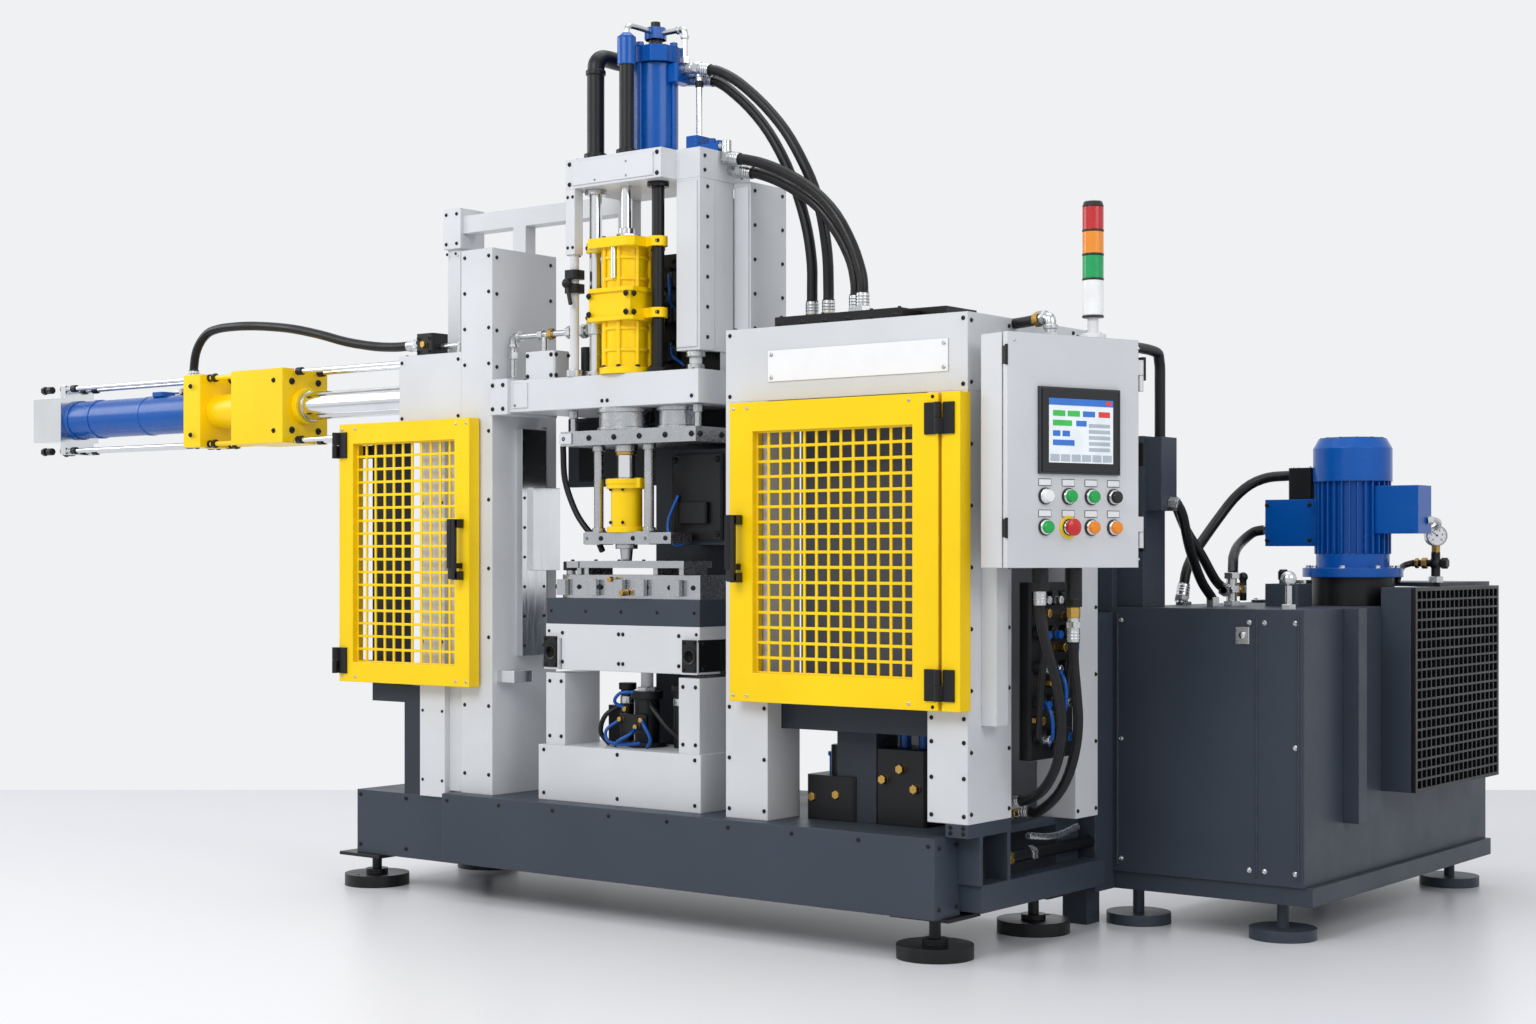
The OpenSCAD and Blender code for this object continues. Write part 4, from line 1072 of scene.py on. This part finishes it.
def add_hydraulics():
    """Fittings on the tank, its seams and lids, and the motor's cap."""
    p = Piece("unit_fittings")
    c = (1591, 1130)
    # cross beside the bell, with its valve
    at = (1350, 837)
    p.use("zinc").post(at, [886, 982], 15)
    for a, b, r in ((886, 900, 26), (924, 944, 24), (964, 982, 24)):
        p.hex_post(at, [a, b], r)
    p.bar_y([786, 900], (1350, 932), 12)
    p.hex_y([786, 802], (1350, 932), 19)
    p.hex_y([884, 900], (1350, 932), 19)
    p.bar_x([1316, 1350], (837, 932), 12)
    p.use("brass").hex_y([870, 884], (1350, 932), 20)
    p.use("black").post((1350, 912), [900, 960], 10)
    p.ball((1350, 912, 968), 14)
    # what holds the gauge
    at, pipe = (1788, 1262), (1262, 1008)
    p.bar_x([1716, 1822], pipe, 10)
    p.post(at, [968, 1040], 13)
    p.ball((*at, 1008), 19)
    p.hex_x([1806, 1824], pipe, 16)
    p.tube([(1716, 1262, 1008), (1700, 1240, 1000), (1704, 1206, 985), (1700, 1190, 952)], 9)
    p.use("brass").hex_post(at, [1036, 1062], 13)
    p.hex_x([1748, 1764], pipe, 16)
    p.hex_x([1728, 1738], pipe, 15)
    p.use("zinc").hex_post(at, [952, 970], 22)
    p.tube([(1802, 1150, 1130), (1815, 1186, 1132), (1808, 1236, 1124), (1792, 1256, 1108)], 8)
    p.hexa((1803, 1150, 1130), (1815, 1164, 1131), 13)
    # breather
    p.post((1672, 510), [886, 950], 9)
    p.hex_post((1672, 510), [886, 900], 20)
    p.ball((1672, 510, 968), 21)
    # block beside the bell, and bolts
    p.block([1470, 1520], [960, 1010], [886, 960], 5)
    for at in ring(c, 128, 8, 10):
        p.bolt((*at, 994), UP, 8)
    for at in ring(c, 108, 8):
        p.bolt((*at, 968), UP, 6)
    p.use("black").bolts(1490, (880, 940), 950, UP, 7)
    p.post((1430, 1010), [886, 990], 12)
    p.hex_post((1430, 1010), [960, 985], 17)
    # tank lids, seams and screws
    p.use("dark").block([1440, 1540], [860, 960], [886, 950])
    p.block([1190, 1400], [1300, 1560], [886, 894])
    p.block([1460, 1690], [1480, 1760], [886, 892])
    p.use("zinc").bolts((1202, 1388), (1312, 1430, 1548), 894, UP, 6)
    p.bolts(1158, (520, 1820), (180, 860), LEFT, 7)
    p.done()
    p = Piece("tank_seams", slot="dark_paint").use("dark")
    for x, w in ((1588, 5), (1168, 6), (1706, 6)):
        p.block([x, x + w], [486, 492], [168, 868], 1)
    p.use("zinc").bolts((1182, 1700), 490, (186, 520, 850), OUT, 5)
    p.bolts((1568, 1612), 490, (186, 850), OUT, 5)
    p.block([1530, 1570], [486, 490], [792, 838], 3)
    p.use("chrome").turned((1550, 485, 816), (1550, 484, 816), [(9, 0), (9, 4), (3, 5)], 20)
    p.done()
    p = Piece("motor_trim").use("black")
    p.bolts((1360, 1492), 1052, (1075, 1178), OUT, 5)
    p.block([1404, 1478], [1100, 1160], [1195, 1288], 5)
    for a, b in zip(ring(c, 30, 12), ring(c, 92, 12)):
        p.rod((*a, 1370), (*b, 1370), 2)
    for r in (30, 50, 70, 90):
        p.turned((*c, 1368), (*c, 1369), [(r, 0), (r, 3), (r - 3, 3), (r - 3, 0)], 48)
    p.use("blue").post(c, [1366, 1369], 96, n=40)
    p.use("zinc").bolts((1414, 1468), (1110, 1150), 1288, UP)
    p.done()


def add_gauge():
    """A dial that faces the front right, with figures as generic ones have."""
    at = Vector((1788, 1262, 1088))
    turn = Matrix.Rotation(VIEW_TURN, 4, "Z")
    p = Piece("gauge", slot="bright_steel", at=Matrix.Translation(at) @ turn)
    p.use("zinc").turned((0, 14, 0), (0, -14, 0), [(10, 0), (31, 2), (31, 26), (28, 29), (27, 26), (2, 26)], 40)
    p.use("label_plate").turned((0, -12, 0), (0, -13, 0), [(26.6, 0), (26.6, 1), (1, 1)], 40)
    p.use("black_plastic")
    for k in range(11):
        w = math.radians(225 - 27 * k)
        p.rod(*[(math.cos(w) * r, -13.2, math.sin(w) * r) for r in (21, 25)], 0.5, n=6)
    p.rod((0, -13.6, 0), (-14, -13.6, 12), 0.9, n=6)
    p.turned((0, -13, 0), (0, -14, 0), [(3, 0), (3, 1), (1, 1.6)], 16)
    p.done()
    for k, label in enumerate(("0", "2", "4", "6", "8", "10")):
        w = math.radians(225 - 54 * k)
        data = bpy.data.curves.new("gauge_figure_" + label, "FONT")
        data.body = label
        data.size = 0.0075
        data.extrude = 0.0002
        data.align_x = data.align_y = "CENTER"
        data.materials.append(M["black_plastic"])
        figure = bpy.data.objects.new("gauge_figure_" + label, data)
        spot = Vector((0.0165 * math.cos(w), -0.0134, 0.0165 * math.sin(w)))
        figure.matrix_world = (Matrix.Translation(at * MM) @ turn @ Matrix.Translation(spot)
                               @ Matrix.Rotation(math.pi / 2, 4, "X"))
        scene.collection.objects.link(figure)
        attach(figure, "machine")


def add_table_ends():
    """Black square tube ends at the table's corners, each with its bore."""
    p = Piece("table_ends", "lift_table").use("black")
    for x in (-288, 236):
        p.block([x, x + 52], [-288, -284], [706, 796], 3)
        p.turned((x + 26, -288, 750), (x + 26, -289, 750), [(24, 0), (24, 1.5), (17, 1.5), (15, 0.2)], 32)
        p.bolts((x + 7, x + 45), -288, (714, 788), OUT, 3)
    p.block([286, 290], [-280, -70], [706, 796], 1)
    p.bolts(289, (-262, -96), (716, 786), OUT, 3)
    p.done()


def split_look(node, second, test):
    """Give a second look to the faces of a CAD node whose middle, in millimetres, passes a test."""
    if node not in nodes:
        return
    mesh = nodes[node].data
    mesh.materials.append(M[second])
    for f in mesh.polygons:
        middle = sum((mesh.vertices[v].co for v in f.vertices), Vector()) * (1000 / len(f.vertices))
        if test(middle):
            f.material_index = 1


# the right bay's panel faces forward of y -100 mm get the darker grey that paints the shade inside the bay
split_look("right_bay_panels", "inner", lambda c: c.y < -100)
split_look("guide_columns", "black", lambda c: c.x > 90 and c.z > YOKE_TOP)
split_look("top_cylinder", "black", lambda c: c.z > 2556 or 2494 < c.z < 2521)
split_look("valve_boxes", "grey", lambda c: 261 < c.x < 263)
split_look("blow_cylinder", "chrome", lambda c: c.z > 1250)

add_table_ends()
add_line_fittings()
add_tubes()
add_press_bolts()
add_head()
add_tower()
add_risers()
add_blow_area()
add_lift()
add_ram()
add_sign()
add_dark_machinery()
add_door("right_door_screws", "right_guard_door", (("zinc", (475, 520, 1040), (656, 1422)),
                                                   ("black", 1112, (650, 1428))), 483)
add_door("left_door_screws", "left_guard_door", (("zinc", (-1080, -1020, -580, -536), (656, 1422)),), -569)
add_control_panel()
add_lamp()
add_hydraulics()
add_gauge()
